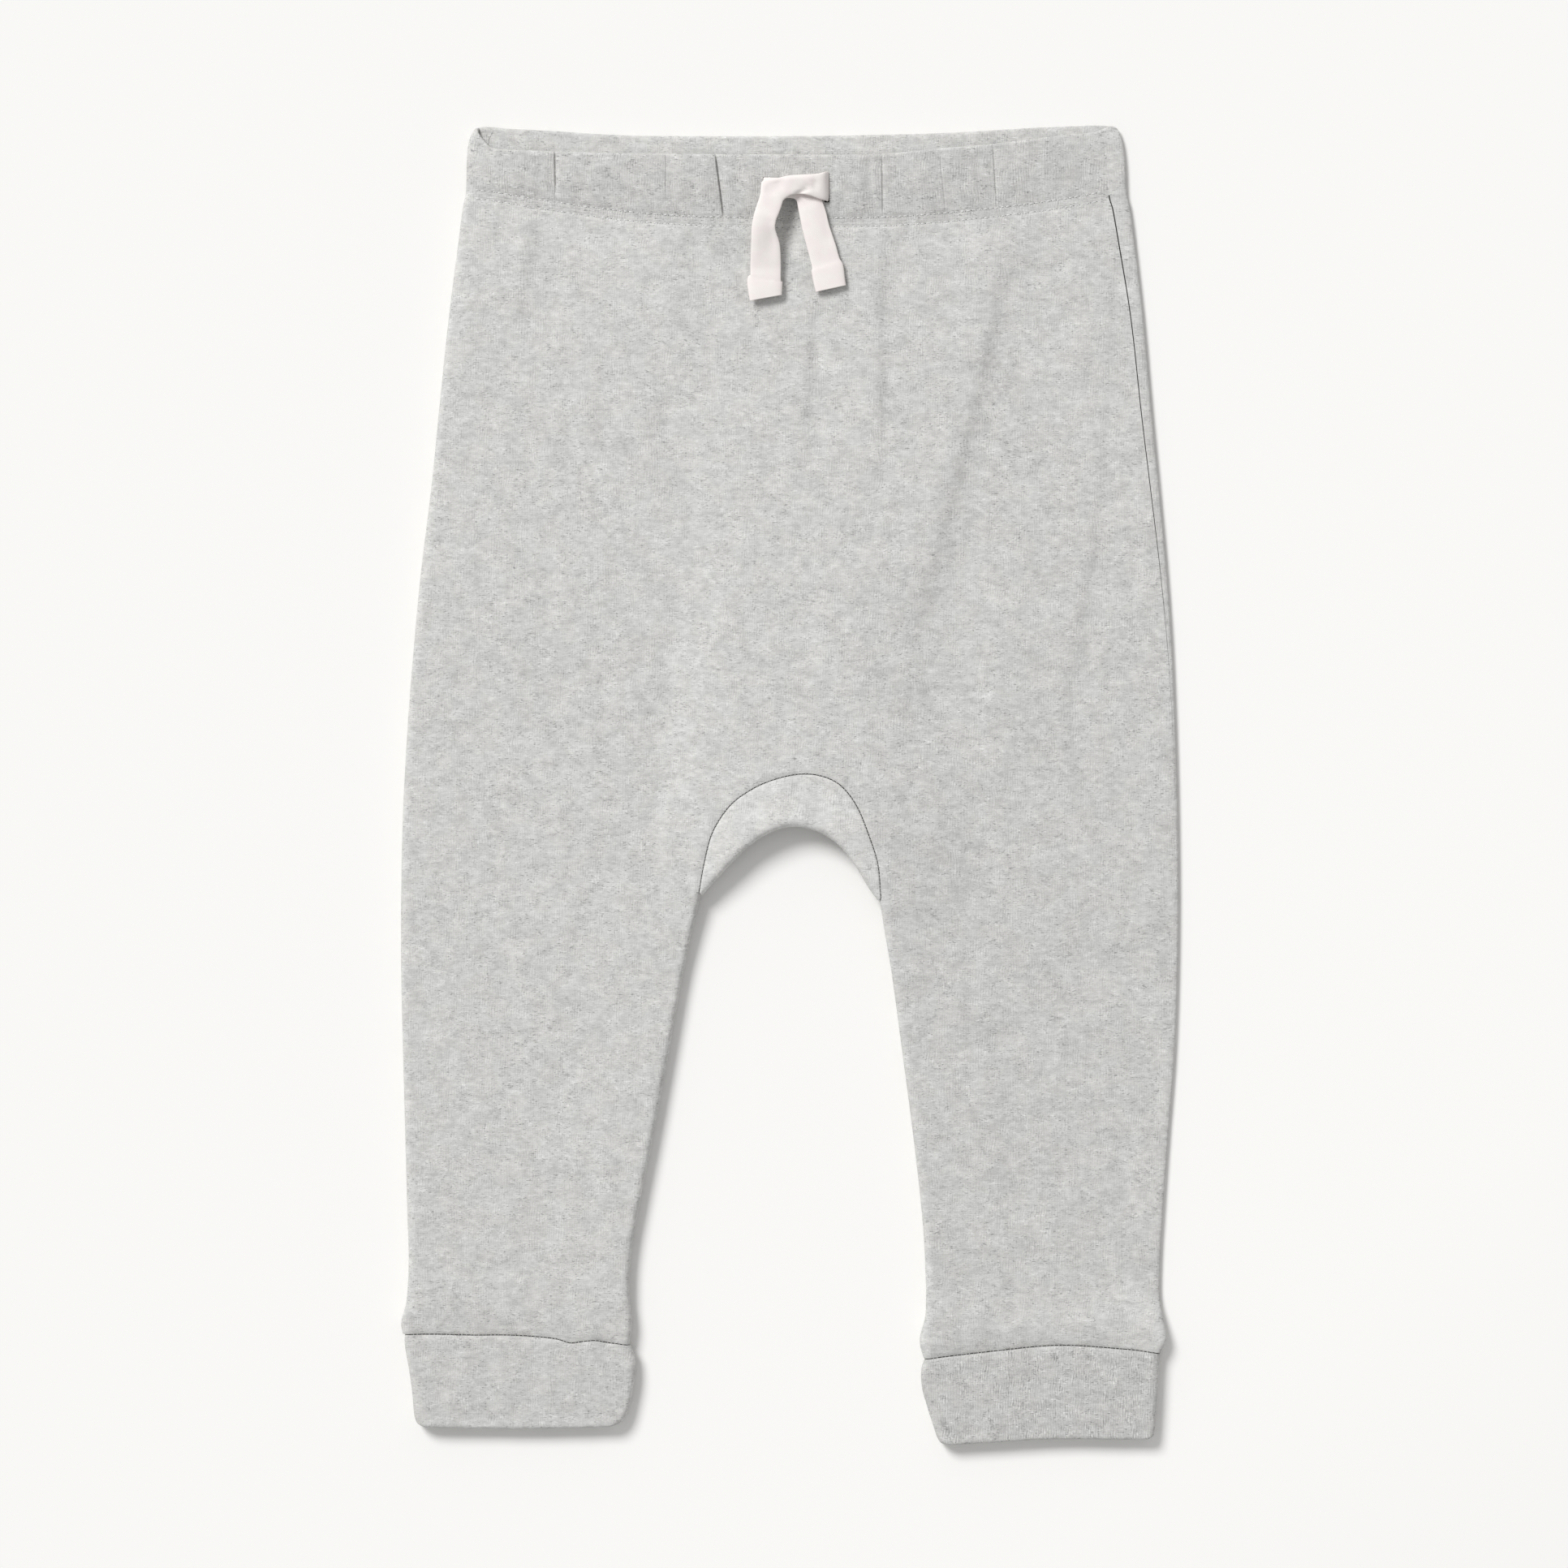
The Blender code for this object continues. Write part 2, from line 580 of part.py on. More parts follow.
def make_panel(name, up, reach_left, reach_right, material):
    panel = Panel(up, reach_left, reach_right)
    for row in range(BODY_ROWS + 1):
        panel.body_row(row, row / BODY_ROWS)
    for which in LEGS:
        for step in range(1, ARCH_ROWS + 1):
            panel.arch_row(BODY_ROWS + step, which, step)
        for step, t in enumerate(LEG_ROWS, ARCH_ROWS + 1):
            panel.leg_row(BODY_ROWS + step, which, t)
    return wall(name, panel.skin, JERSEY, material)


GUSSET_COLUMNS = (1, 0.7, 0.42, 0.26, 0.12, 0)  # shares of the cloth from fold to seam


def make_gusset(material):
    """The gusset, from its seam with the front round the fold to its seam with the back."""
    skin = {}
    for row, ends in enumerate(GUSSET):
        seam = seam_row(row)[1]
        fold = Vector((ends["fold_x"], ends["fold_down"]))
        flat = (fold - seam).length
        way = (fold - seam) / flat
        cloth = ROLL * math.acos(max(1 - flat / ROLL, 0)) + max(flat - ROLL, 0)
        columns = [cloth * share for share in GUSSET_COLUMNS]
        columns += [-distance for distance in reversed(columns[:-1])]
        for column, distance in enumerate(columns):
            inset, height, outwards, upwards = rolled(distance)
            point = fold - way * inset
            facing = Vector((way.x * outwards, -way.y * outwards, upwards))
            height += lift(point.x, point.y)
            skin[row, column] = (place(point.x, point.y, height), facing, 0)
    return wall("gusset", skin, JERSEY, material)


# Waist -------------------------------------------------------------------------------

CASING_ROWS = (0, 0.055, 0.3, 0.55, 0.8, 1)  # from the top fold to the seam


def pleats(x, along):
    """How far the casing is drawn in here. along goes from the top fold to the seam."""
    drawn = 0.0
    for pleat in PLEATS:
        off = (x - pleat["x"] - pleat["lean"] * (along - 0.5)) / PLEAT_HALF
        drawn += pleat["deep"] * math.exp(-(off**2))
    return drawn * math.sin(math.pi * min(max(along, 0.12), 0.9))


def make_casing(name, up, reach_left, reach_right, material):
    """One half of the waist casing: across the top or the underside, and round a side."""
    skin = {}
    middles = list(CASING_COLUMNS)
    if up:
        middles += [pleat["x"] + off for pleat in PLEATS for off in (-PLEAT_HALF, 0, PLEAT_HALF)]

    def down_at(x, along, share):
        top = mix(smooth(BACK_TOP, "x", x, "down"), smooth(FRONT_TOP, "x", x, "down"), share)
        return mix(top, casing_seam(x, share) - SEAM / 2, along)

    def side(along, reach, which):
        points = []
        way = LEGS[which]["way"]
        for step in range(len(side_columns(reach))):
            x, share = way * WAIST_SIDE, 0.5
            for _ in range(3):  # the fold's place and the seam's depend on how far down it is
                down = down_at(x, along, share)
                seam_in = smooth(SIDE_SEAM, "down", down, "in")
                cloth = side_columns(reach * seam_in)[step]
                inset, height, outwards, upwards = rolled(cloth if up else -cloth)
                x = smooth(SIDES, "down", down, which) - way * inset
                share = height / (2 * ROLL)
            points.append((x, share, height, Vector((way * outwards, 0, upwards))))
        return points

    flat = 2 * ROLL if up else 0.0
    for row, along in enumerate(CASING_ROWS):
        pinch = TOP_FOLD if row == 0 else 0
        points = side(along, reach_left, "left")
        points += [(x, up, flat, Vector((0, 0, 1 if up else -1))) for x in sorted(middles)]
        points += reversed(side(along, reach_right, "right"))
        for column, (x, share, height, facing) in enumerate(points):
            if up and share == 1:
                height -= pleats(x, along)
            point = place(x, down_at(x, along, share), height)
            skin[row, column] = (point, facing, pinch)
    return wall(name, skin, CASING, material)


def cut_buttonholes(casing):
    """Cuts the two upright slots that the drawstring comes out of, through the casing."""
    for number, x in enumerate(BUTTONHOLE["x"]):
        data = bpy.data.meshes.new(f"buttonhole_cutter_{number}")
        mesh = bmesh.new()
        bmesh.ops.create_cube(mesh, size=1)
        size = Vector((BUTTONHOLE["wide"], BUTTONHOLE["tall"], 2 * CASING + 1)) * MM
        bmesh.ops.scale(mesh, vec=size, verts=mesh.verts)
        mesh.to_mesh(data)
        mesh.free()
        cutter = bpy.data.objects.new(data.name, data)
        cutter.location = place(x, BUTTONHOLE["down"], 2 * ROLL)
        cutter.hide_render = True
        cutter.display_type = "WIRE"
        cutters.objects.link(cutter)
        slot = casing.modifiers.new(f"buttonhole_{number}", "BOOLEAN")
        slot.operation = "DIFFERENCE"
        slot.object = cutter


# Cuffs -------------------------------------------------------------------------------

ROUND_FOLD = (-QUARTER, -QUARTER / 2, 0, QUARTER / 2, QUARTER)
FLAT_COLUMNS = 8  # over each face, between the rolled edges
CUFF_ROWS = (0, 0.15, 0.5, 0.85, 0.955, 1)  # from the seam to the hem


def make_cuff(name, material):
    """A folded band round the leg's end, flattened: a tube with its hem rounded over."""
    shape, skin = CUFFS[name], {}
    for row, along in enumerate(CUFF_ROWS):
        pinch = HEM_FOLD if along == 1 else 0
        left = smooth(shape["sides"], "along", along, "left")
        right = smooth(shape["sides"], "along", along, "right")
        ring = []
        for edge, way, cloths in ((left, -1, ROUND_FOLD), (right, 1, ROUND_FOLD[::-1])):
            for cloth in cloths:
                inset, height, outwards, upwards = rolled(cloth)
                ring.append((edge - way * inset, height, Vector((way * outwards, 0, upwards))))
            for step in range(1, FLAT_COLUMNS):
                t = step / FLAT_COLUMNS
                x = mix(left + ROLL, right - ROLL, t if way < 0 else 1 - t)
                ring.append((x, ROLL - way * ROLL, Vector((0, 0, -way))))
        for column, (x, height, facing) in enumerate(ring):
            seam = smooth(shape["seam"], "x", x, "down") + SEAM / 2
            hem = smooth(shape["hem"], "x", x, "down")
            skin[row, column] = (place(x, mix(seam, hem, along), height), facing, pinch)
    return wall(name, skin, CUFF, material, ring=len(ring))


# Drawstring --------------------------------------------------------------------------

TAPE_SECTION = (
    (-1, -0.3),
    (-0.93, -1),
    (0.93, -1),
    (1, -0.3),
    (1, 0.3),
    (0.93, 1),
    (-0.93, 1),
    (-1, 0.3),
)


def make_strand(name, rows, material):
    """A flat tape with rounded edges, lofted along its rows."""
    centres = [place(row["x"], row["down"], row["z"]) for row in rows]
    mesh = bmesh.new()
    rings = []
    for index, row in enumerate(rows):
        ahead = centres[min(index + 1, len(rows) - 1)] - centres[max(index - 1, 0)]
        across = Vector((-ahead.y, ahead.x, 0)).normalized()
        normal = ahead.cross(across).normalized()
        ring = []
        for side, face in TAPE_SECTION:
            offset = across * side * row["wide"] / 2 + normal * face * row["thick"] / 2
            ring.append(mesh.verts.new(centres[index] + offset * MM))
        rings.append(ring)
    for ring, following in zip(rings, rings[1:]):
        for k in range(len(ring)):
            j = (k + 1) % len(ring)
            mesh.faces.new([ring[k], ring[j], following[j], following[k]])
    mesh.faces.new(rings[0])
    mesh.faces.new(rings[-1])
    bmesh.ops.recalc_face_normals(mesh, faces=mesh.faces)
    return finish(name, mesh, material)


# Assembly ----------------------------------------------------------------------------

for old in list(bpy.data.objects):
    bpy.data.objects.remove(old)

garment = bpy.data.collections.new("harem_pants")
cutters = bpy.data.collections.new("cutters")
bpy.context.scene.collection.children.link(garment)
bpy.context.scene.collection.children.link(cutters)
holder = bpy.data.objects.new("harem_pants", None)
garment.objects.link(holder)

materials = {name: fabric(name) for name in COLOURS}

GAP_REACH = 1 - 0.06  # the sewn pieces stop short of each other at the side seams

make_panel("front_panel", True, GAP_REACH, -1, materials["jersey"])
make_panel("back_panel", False, -1, GAP_REACH, materials["jersey"])
make_gusset(materials["gusset_jersey"])
casing = make_casing("waistband_front", True, GAP_REACH, -1, materials["casing_jersey"])
cut_buttonholes(casing)
make_casing("waistband_back", False, -1, GAP_REACH, materials["casing_jersey"])
for cuff in CUFFS:
    make_cuff(cuff, materials["cuff_jersey"])
make_strand("drawstring_over", OVER_STRAND, materials["cotton_tape"])
make_strand("drawstring_under", UNDER_STRAND, materials["cotton_tape"])
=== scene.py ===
import math

import bmesh
import bpy
import numpy as np
from mathutils import Matrix, Vector


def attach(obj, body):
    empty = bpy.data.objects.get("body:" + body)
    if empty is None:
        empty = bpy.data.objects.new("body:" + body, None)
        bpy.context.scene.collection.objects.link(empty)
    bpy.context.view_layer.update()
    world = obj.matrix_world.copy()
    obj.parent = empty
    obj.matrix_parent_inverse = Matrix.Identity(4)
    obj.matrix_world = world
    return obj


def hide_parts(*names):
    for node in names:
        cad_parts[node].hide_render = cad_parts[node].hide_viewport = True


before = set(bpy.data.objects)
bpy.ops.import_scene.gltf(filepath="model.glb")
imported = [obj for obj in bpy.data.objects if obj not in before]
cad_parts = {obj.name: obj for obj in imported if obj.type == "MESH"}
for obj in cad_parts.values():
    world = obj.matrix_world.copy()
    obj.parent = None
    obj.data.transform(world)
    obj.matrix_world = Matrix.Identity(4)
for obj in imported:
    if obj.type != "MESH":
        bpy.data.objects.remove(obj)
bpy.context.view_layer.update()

mm = 0.001

# Plan tables are in millimetres: x from the centre front, down from the waist.
# Left and right are as seen from above.
origin = {"x": 2.35, "down": 211.6}


def fromMiddle(x, down):  # the same place as x and y from the middle of the model
    return x + origin["x"], origin["down"] - down


def place(x, down, z):
    return np.stack(np.broadcast_arrays(*fromMiddle(x, down), z), axis=-1)


def unit(vectors):
    return vectors / np.linalg.norm(vectors, axis=-1)[..., None]


def curve(table, given, wanted):  # a smooth curve through the rows of a table, as a function
    rows = sorted(table, key=lambda row: row[given])
    xs = np.array([row[given] for row in rows], float)
    ys = np.array([row[wanted] for row in rows], float)
    before, after = np.r_[0, 0:len(xs) - 1], np.r_[1:len(xs), len(xs) - 1]
    slopes = (ys[after] - ys[before]) / (xs[after] - xs[before])

    def at(value):
        value = np.clip(value, xs[0], xs[-1])
        i = np.clip(np.searchsorted(xs, value) - 1, 0, len(xs) - 2)
        step = xs[i + 1] - xs[i]
        t = (value - xs[i]) / step
        return (
            (2 * t**3 - 3 * t**2 + 1) * ys[i] + (t**3 - 2 * t**2 + t) * step * slopes[i]
            + (3 * t**2 - 2 * t**3) * ys[i + 1] + (t**3 - t**2) * step * slopes[i + 1]
        )

    return at


def mix(a, b, t):
    return a + (b - a) * t


def soft(value, start, end):  # 0 before start and 1 after end, smoothly
    t = np.clip((value - start) / (end - start), 0, 1)
    return t * t * (3 - 2 * t)


def wander(x, y, size, seed=0.0):  # smooth unevenness from about -1 to 1, this many mm across
    x, y = np.asarray(x) / size, np.asarray(y) / size
    total = 0
    for turn, grow, weight in ((0.3, 1.0, 1.0), (1.4, 1.7, 0.7), (2.6, 2.9, 0.45), (0.9, 4.3, 0.3)):
        along = x * math.cos(turn + seed) + y * math.sin(turn + seed)
        across = y * math.cos(turn + seed) - x * math.sin(turn + seed)
        total = total + weight * np.sin(grow * along * 3 + seed * 7 + 1.9 * np.sin(across * 1.6 + seed))
    return total / 2.0


def folded(x, y, folds):
    # ridges and troughs along lines from top to bottom. A step falls from its left to its right.
    total = 0
    for topX, topY, lowX, lowY, half, rise, step in folds:
        alongX, alongY = lowX - topX, lowY - topY
        length = math.hypot(alongX, alongY)
        t = ((x - topX) * alongX + (y - topY) * alongY) / length**2
        off = ((y - topY) * alongX - (x - topX) * alongY) / length
        beyond = np.maximum(np.abs(t - 0.5) - 0.5, 0) * length
        width = half * (1 + 0.25 * wander(x, y, 40, half))
        fade = soft(t, -0.05, 0.15) * soft(-t, -1.1, -0.75)
        if step:
            shape = -0.5 * np.tanh(off / width) * np.exp(-(off / step) ** 2)
        else:
            shape = np.exp(-(off**2 + beyond**2) / width**2)
        total = total + rise * fade * shape
    return total


print("camera")
view = {"height": 1.5, "width": 0.5023, "middle": (-0.00195, 0.00026), "level": 0.0045}


def addCamera():
    data = bpy.data.cameras.new("camera")
    data.sensor_width = 36
    data.lens = 36 * (view["height"] - view["level"]) / view["width"]
    data.clip_start, data.clip_end = 0.05, 20
    camera = bpy.data.objects.new("camera", data)
    camera.location = (*view["middle"], view["height"])
    bpy.context.scene.collection.objects.link(camera)
    bpy.context.scene.camera = camera


addCamera()


class Wire:  # a socket of a material's nodes, which can be used in sums
    def __init__(self, tree, socket):
        self.tree, self.socket = tree, socket

    def add(self, kind, settings, inputs, output=0):
        node = self.tree.nodes.new("ShaderNode" + kind)
        for name, value in settings.items():
            setattr(node, name, value)
        for name, value in inputs.items():
            if isinstance(value, Wire):
                self.tree.links.new(value.socket, node.inputs[name])
            else:
                node.inputs[name].default_value = value
        return Wire(self.tree, node.outputs[output])

    def sum(self, operation, other, swapped=False):
        first, second = (other, self) if swapped else (self, other)
        return self.add("Math", {"operation": operation}, {0: first, 1: second})

    def __add__(self, other):
        return self.sum("ADD", other)

    def __radd__(self, other):
        return self.sum("ADD", other, True)

    def __sub__(self, other):
        return self.sum("SUBTRACT", other)

    def __rsub__(self, other):
        return self.sum("SUBTRACT", other, True)

    def __mul__(self, other):
        return self.sum("MULTIPLY", other)

    def sine(self):
        return self.add("Math", {"operation": "SINE"}, {0: self})

    def between(self, low, high):  # 0 at low and 1 at high, smoothly
        limits = {"Value": self, "From Min": low, "From Max": high}
        return self.add("MapRange", {"interpolation_type": "SMOOTHSTEP"}, limits)

    def blend(self, first, second):  # a colour, from first to second as this goes from 0 to 1
        return self.add("Mix", {"data_type": "RGBA"}, {0: self, 6: first, 7: second}, output=2)

    def tinted(self, level):  # a colour made lighter or darker by a level
        grey = self.add("CombineXYZ", {}, {0: level, 1: level, 2: level})
        settings = {"data_type": "RGBA", "blend_type": "MULTIPLY"}
        return self.add("Mix", settings, {0: 1.0, 6: self, 7: grey}, output=2)

    def axis(self, number):
        return self.add("SeparateXYZ", {}, {0: self}, number)

    def paint(self, shader, height=None, strength=0.0, deep=0.0):  # a colour, with a relief in metres
        self.tree.links.new(self.socket, shader.inputs["Base Color"])
        if height:
            bump = self.add("Bump", {}, {"Strength": strength, "Distance": deep, "Height": height})
            self.tree.links.new(bump.socket, shader.inputs["Normal"])


def newMaterial(name, roughness, sheen=0.0, sheenRoughness=0.5):
    material = bpy.data.materials.new(name)
    material.use_nodes = True
    tree = material.node_tree
    shader = tree.nodes["Principled BSDF"]
    shader.inputs["Roughness"].default_value = roughness
    shader.inputs["Specular IOR Level"].default_value = 0.2
    shader.inputs["Sheen Weight"].default_value = sheen
    shader.inputs["Sheen Roughness"].default_value = sheenRoughness
    coords = tree.nodes.new("ShaderNodeTexCoord")
    return material, shader, Wire(tree, coords.outputs["Object"])


def noise(coords, size, detail=2.0, shift=(0, 0, 0)):  # size is in mm along x, y and z
    mapping = {"Vector": coords, "Location": shift, "Scale": [1000 / s for s in size]}
    scaled = coords.add("Mapping", {}, mapping)
    return coords.add("TexNoise", {}, {"Vector": scaled, "Scale": 1.0, "Detail": detail})


def turns(spacing):  # radians for each metre, of ribs this many mm apart
    return 2000 * math.pi / spacing


melange = {
    "base": (0.604, 0.597, 0.582),
    "cool": (0.596, 0.600, 0.586),
    "dark": (0.33, 0.33, 0.325),
    "light": (0.82, 0.82, 0.81),
    "wale": 0.8, "course": 0.62,  # mm between ribs, and between the rows across them
}


def melangeJersey(name, paintedShading=1.0, wales=1.0, flecks=1.0):
    # grey yarn spun from dark and pale fibres, which show as short streaks across the wales
    material, shader, coords = newMaterial(name, 0.92, sheen=0.12, sheenRoughness=0.6)
    # paintedShading scales every tone: below 1 the copy is painted darker, as if in shade, and above 1 it is
    # painted lighter, as if lit more
    tone = {key: [c * paintedShading for c in melange[key]] + [1] for key in ("base", "cool", "dark", "light")}
    cloudy = noise(coords, (6.5, 5.5, 6.5), 2.0)
    blotches = noise(coords, (3.2, 1.9, 3.2), 1.0, (9, 12, 4))
    bands = noise(coords, (1.9, 0.85, 1.9), 2.0, (3, 1, 7))
    streak = noise(coords, (1.0, 0.34, 1.0), 1.5, (11, 5, 2))
    pale = noise(coords, (1.4, 0.3, 1.4), 1.0, (5, 29, 13))
    hair = noise(coords, (0.36, 1.6, 0.36), 1.0, (8, 2, 21))
    fibre = noise(coords, (0.45, 0.24, 0.45), 1.0, (1, 17, 4))
    busy = noise(coords, (4, 3.2, 4), 1.0, (21, 7, 3)).between(0.36, 0.62)
    ribbed = noise(coords, (3.0, 5.0, 3.0), 1.0, (2, 31, 17)).between(0.48, 0.66) * 0.75 + 0.25
    x, y, z = [coords.axis(number) for number in range(3)]
    wale = ((x + z * 0.8) * turns(melange["wale"]) + cloudy * 14.0).sine() * ribbed
    course = (y * turns(melange["course"]) + bands * 5.0).sine()
    ground = noise(coords, (8, 9, 8), 1.0, (13, 3, 8)).between(0.42, 0.6).blend(tone["base"], tone["cool"])
    darkness = streak.between(0.56, 0.71) * (busy * 0.8 + 0.2) * (0.95 * flecks)
    paleness = pale.between(0.57, 0.73) * (busy * 0.6 + 0.4) * (0.6 * flecks)
    level = (
        1.0 + (cloudy - 0.5) * 0.34 + (blotches - 0.5) * 0.36 + (bands - 0.5) * 0.40 + (fibre - 0.5) * 0.26
        + (hair - 0.5) * ribbed * (0.38 * wales) + wale * (0.03 * wales)
    )
    colour = paleness.blend(darkness.blend(ground, tone["dark"]), tone["light"]).tinted(level)
    height = wale * (0.5 * wales) + course * 0.12 + fibre * 1.2 + streak * 0.8 + hair * 0.6
    colour.paint(shader, height, 0.3, 0.00022)
    return material


def cottonTape(name):
    # cream tape in a fine twill, a little pink where it is thin
    material, shader, coords = newMaterial(name, 0.8, sheen=0.1)
    cloudy = noise(coords, (4, 5, 4), 2.0)
    grain = noise(coords, (0.3, 0.5, 0.3), 2.0, (7, 3, 1))
    x, y = coords.axis(0), coords.axis(1)
    twill = ((x * 1.3 + y) * turns(0.9)).sine()
    warp = (x * turns(0.55)).sine()
    level = 1.0 + (grain - 0.5) * 0.06 + twill * 0.006
    colour = cloudy.between(0.35, 0.65).blend((0.850, 0.786, 0.770, 1), (0.864, 0.818, 0.788, 1))
    colour.tinted(level).paint(shader, twill * 0.4 + warp * 0.2 + grain, 0.12, 0.00012)
    return material


def thread(name, grey):
    # sewing thread, a little uneven from stitch to stitch; also used for the painted shade of the needle
    # holes
    material, shader, coords = newMaterial(name, 0.6, sheen=0.1)
    grain = noise(coords, (0.25, 0.2, 0.25), 1.0)
    colour = grain.between(0.3, 0.7).blend([c * 0.85 for c in grey] + [1], [c * 1.12 for c in grey] + [1])
    colour.paint(shader, grain, 0.3, 0.0001)
    return material


print("materials")
jersey = melangeJersey("melange_jersey")
# the casing and the cuffs are darker copies of the jersey with painted shade, and the gusset is a lighter
# copy with painted light; their wales and flecks are the knit's own
casingJersey = melangeJersey("melange_jersey_casing_painted_shade", paintedShading=0.925, wales=1.6, flecks=1.1)
insideJersey = melangeJersey("melange_jersey_inside")
gussetJersey = melangeJersey("melange_jersey_gusset_painted_light", paintedShading=1.10, flecks=0.8)
cuffJerseys = {
    "left": melangeJersey("melange_jersey_cuff_left_painted_shade", paintedShading=0.965, wales=1.1),
    "right": melangeJersey("melange_jersey_cuff_right_painted_shade", paintedShading=0.935, wales=2.8, flecks=1.2),
}
tape = cottonTape("cream_cotton_tape")
greyThread = thread("grey_thread", (0.69, 0.69, 0.68))
# seam thread, darkened with painted shade of the seam's ditch
seamThreadPaintedShade = thread("seam_thread_painted_shade", (0.36, 0.36, 0.355))
# dark flecks of painted shade, where the needle holes are
holeShade = thread("needle_hole_shade", (0.22, 0.22, 0.215))
buttonholeThread = thread("buttonhole_thread", (0.61, 0.61, 0.60))


def finish(mesh, name, material, sharp=52):  # a bmesh in metres becomes a shown piece
    data = bpy.data.meshes.new(name)
    mesh.to_mesh(data)
    mesh.free()
    data.shade_smooth()
    data.set_sharp_from_angle(angle=math.radians(sharp))
    data.materials.append(material)
    piece = bpy.data.objects.new(name, data)
    bpy.context.scene.collection.objects.link(piece)
    return piece


def dress(piece, node):  # a piece takes the place of its solid
    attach(piece, "root")
    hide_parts(node)


def addGrid(mesh, spots):  # a grid of faces through a table of points in mm, row by row
    rows, columns = spots.shape[:2]
    made = bmesh.ops.create_grid(mesh, x_segments=columns - 1, y_segments=rows - 1, size=1)["verts"]
    for vert, spot in zip(made, (spots * mm).reshape(-1, 3).tolist()):
        vert.co = spot
    return made


# two flat ends of tape that cross in a half knot
drawstring = {
    # x, down, z, width, thickness
    "over": [
        (18.0, 20.4, 3.1, 9.0, 0.9), (10.2, 20.4, 3.1, 9.0, 0.9), (9.7, 20.4, 4.6, 9.0, 1.1),
        (9.4, 20.4, 6.8, 9.0, 1.2), (8.0, 20.4, 8.7, 8.6, 1.2), (4.6, 20.1, 9.6, 7.0, 1.4),
        (0.6, 19.9, 9.9, 6.1, 1.6), (-3.6, 20.6, 10.2, 6.5, 1.6), (-7.4, 23.0, 10.7, 7.3, 1.4),
        (-9.0, 26.8, 11.0, 7.6, 1.3), (-10.3, 31.4, 11.0, 7.8, 1.3), (-10.7, 34.8, 10.6, 8.0, 1.2),
        (-10.2, 40.0, 9.4, 9.3, 1.1), (-10.15, 46.0, 8.3, 9.8, 1.1), (-10.2, 49.4, 8.2, 9.9, 1.1),
        (-10.4, 50.3, 7.8, 11.3, 1.9), (-10.3, 53.0, 7.8, 11.0, 2.0), (-10.1, 55.9, 7.8, 10.4, 1.7),
    ],
    "under": [
        (-20.0, 21.2, 3.05, 8.4, 0.9), (-11.0, 21.4, 3.1, 8.4, 0.9), (-10.4, 21.4, 4.6, 8.4, 1.1),
        (-10.2, 21.4, 6.3, 8.4, 1.2), (-8.4, 21.2, 7.4, 7.6, 1.2), (-4.0, 20.9, 7.6, 6.4, 1.2),
        (0.2, 21.4, 7.5, 6.2, 1.2), (3.0, 23.6, 7.4, 7.4, 1.2), (4.6, 28.0, 7.5, 8.4, 1.1),
        (6.0, 34.0, 7.6, 8.7, 1.1), (7.8, 40.0, 7.5, 9.1, 1.1), (9.1, 44.8, 7.5, 9.3, 1.1),
        (9.5, 46.2, 7.4, 10.3, 1.7), (10.1, 50.0, 7.3, 10.2, 1.9), (10.7, 52.9, 7.3, 9.9, 1.8),
    ],
    # where the tape is drawn out to a corner: the point, its move and the reach, in mm of the model
    "overPulls": [
        {"at": (-7.6, 192.0), "by": (-1.6, 1.3, -0.4), "reach": 2.6},
        {"at": (12.0, 195.6), "by": (0.2, 0.5, 0.0), "reach": 1.6},
        {"at": (-4.0, 179.0), "by": (-0.5, 0.0, 0.6), "reach": 3.0},
    ],
    "sections": 120, "sectionPoints": 28,
    "slanted": 12,  # sections at the end
    "sideRound": 0.55, "faceRound": 0.8,  # powers of the section's cosine and sine, 1 being round
    "creased": (6.6, 8.2),  # heights between which the creases fade in
    "tapeWidth": 9.8,
}


def strandPath(rows, count):  # even steps along a smooth curve through the rows
    points = np.array([row[:3] for row in rows], float)
    chord = np.r_[0, np.cumsum(np.linalg.norm(np.diff(points, axis=0), axis=1))]
    table = [(at, *row) for at, row in zip(chord, rows)]
    at = np.linspace(0, chord[-1], count)
    return [curve(table, 0, column + 1)(at) for column in range(5)]


def addStrand(name, rows, pulls, creases, lean):
    x, down, z, wide, thick = strandPath(rows, drawstring["sections"])
    centres = place(x, down, z)
    ahead = np.gradient(centres, axis=0)
    across = unit(np.stack([-ahead[:, 1], ahead[:, 0], 0 * x], axis=1))
    normal = unit(np.cross(ahead, across))
    # the end is cut at a slant
    endward = soft(np.arange(len(x)), len(x) - drawstring["slanted"], len(x) - 1)[:, None]
    sideways = across + lean * endward * unit(ahead)
    turn = np.linspace(0, 2 * math.pi, drawstring["sectionPoints"] + 1)
    side, face = [
        np.sign(wave) * np.abs(wave) ** drawstring[power]
        for wave, power in ((np.cos(turn), "sideRound"), (np.sin(turn), "faceRound"))
    ]
    spots = centres[:, None] + (side * wide[:, None] / 2)[..., None] * sideways[:, None]
    spots = spots + (face * thick[:, None] / 2)[..., None] * normal[:, None]
    for pull in pulls:
        away = np.linalg.norm(spots[..., :2] - pull["at"], axis=-1) / pull["reach"]
        spots = spots + np.exp(-away**2)[..., None] * np.array(pull["by"])
    x, y, z = [spots[..., k] for k in range(3)]
    spots[..., 2] = z + folded(x, y, creases) * soft(z, *drawstring["creased"])
    spots[:, -1] = spots[:, 0]
    mesh = bmesh.new()
    addGrid(mesh, spots)
    bmesh.ops.remove_doubles(mesh, verts=mesh.verts, dist=0.00001)
    bmesh.ops.holes_fill(mesh, edges=[edge for edge in mesh.edges if edge.is_boundary])
    bmesh.ops.recalc_face_normals(mesh, faces=mesh.faces)
    piece = finish(mesh, name, tape, 60)
    path = [tuple(point * mm) for point in place(*strandPath(rows, 30)[:3])]
    return piece, path


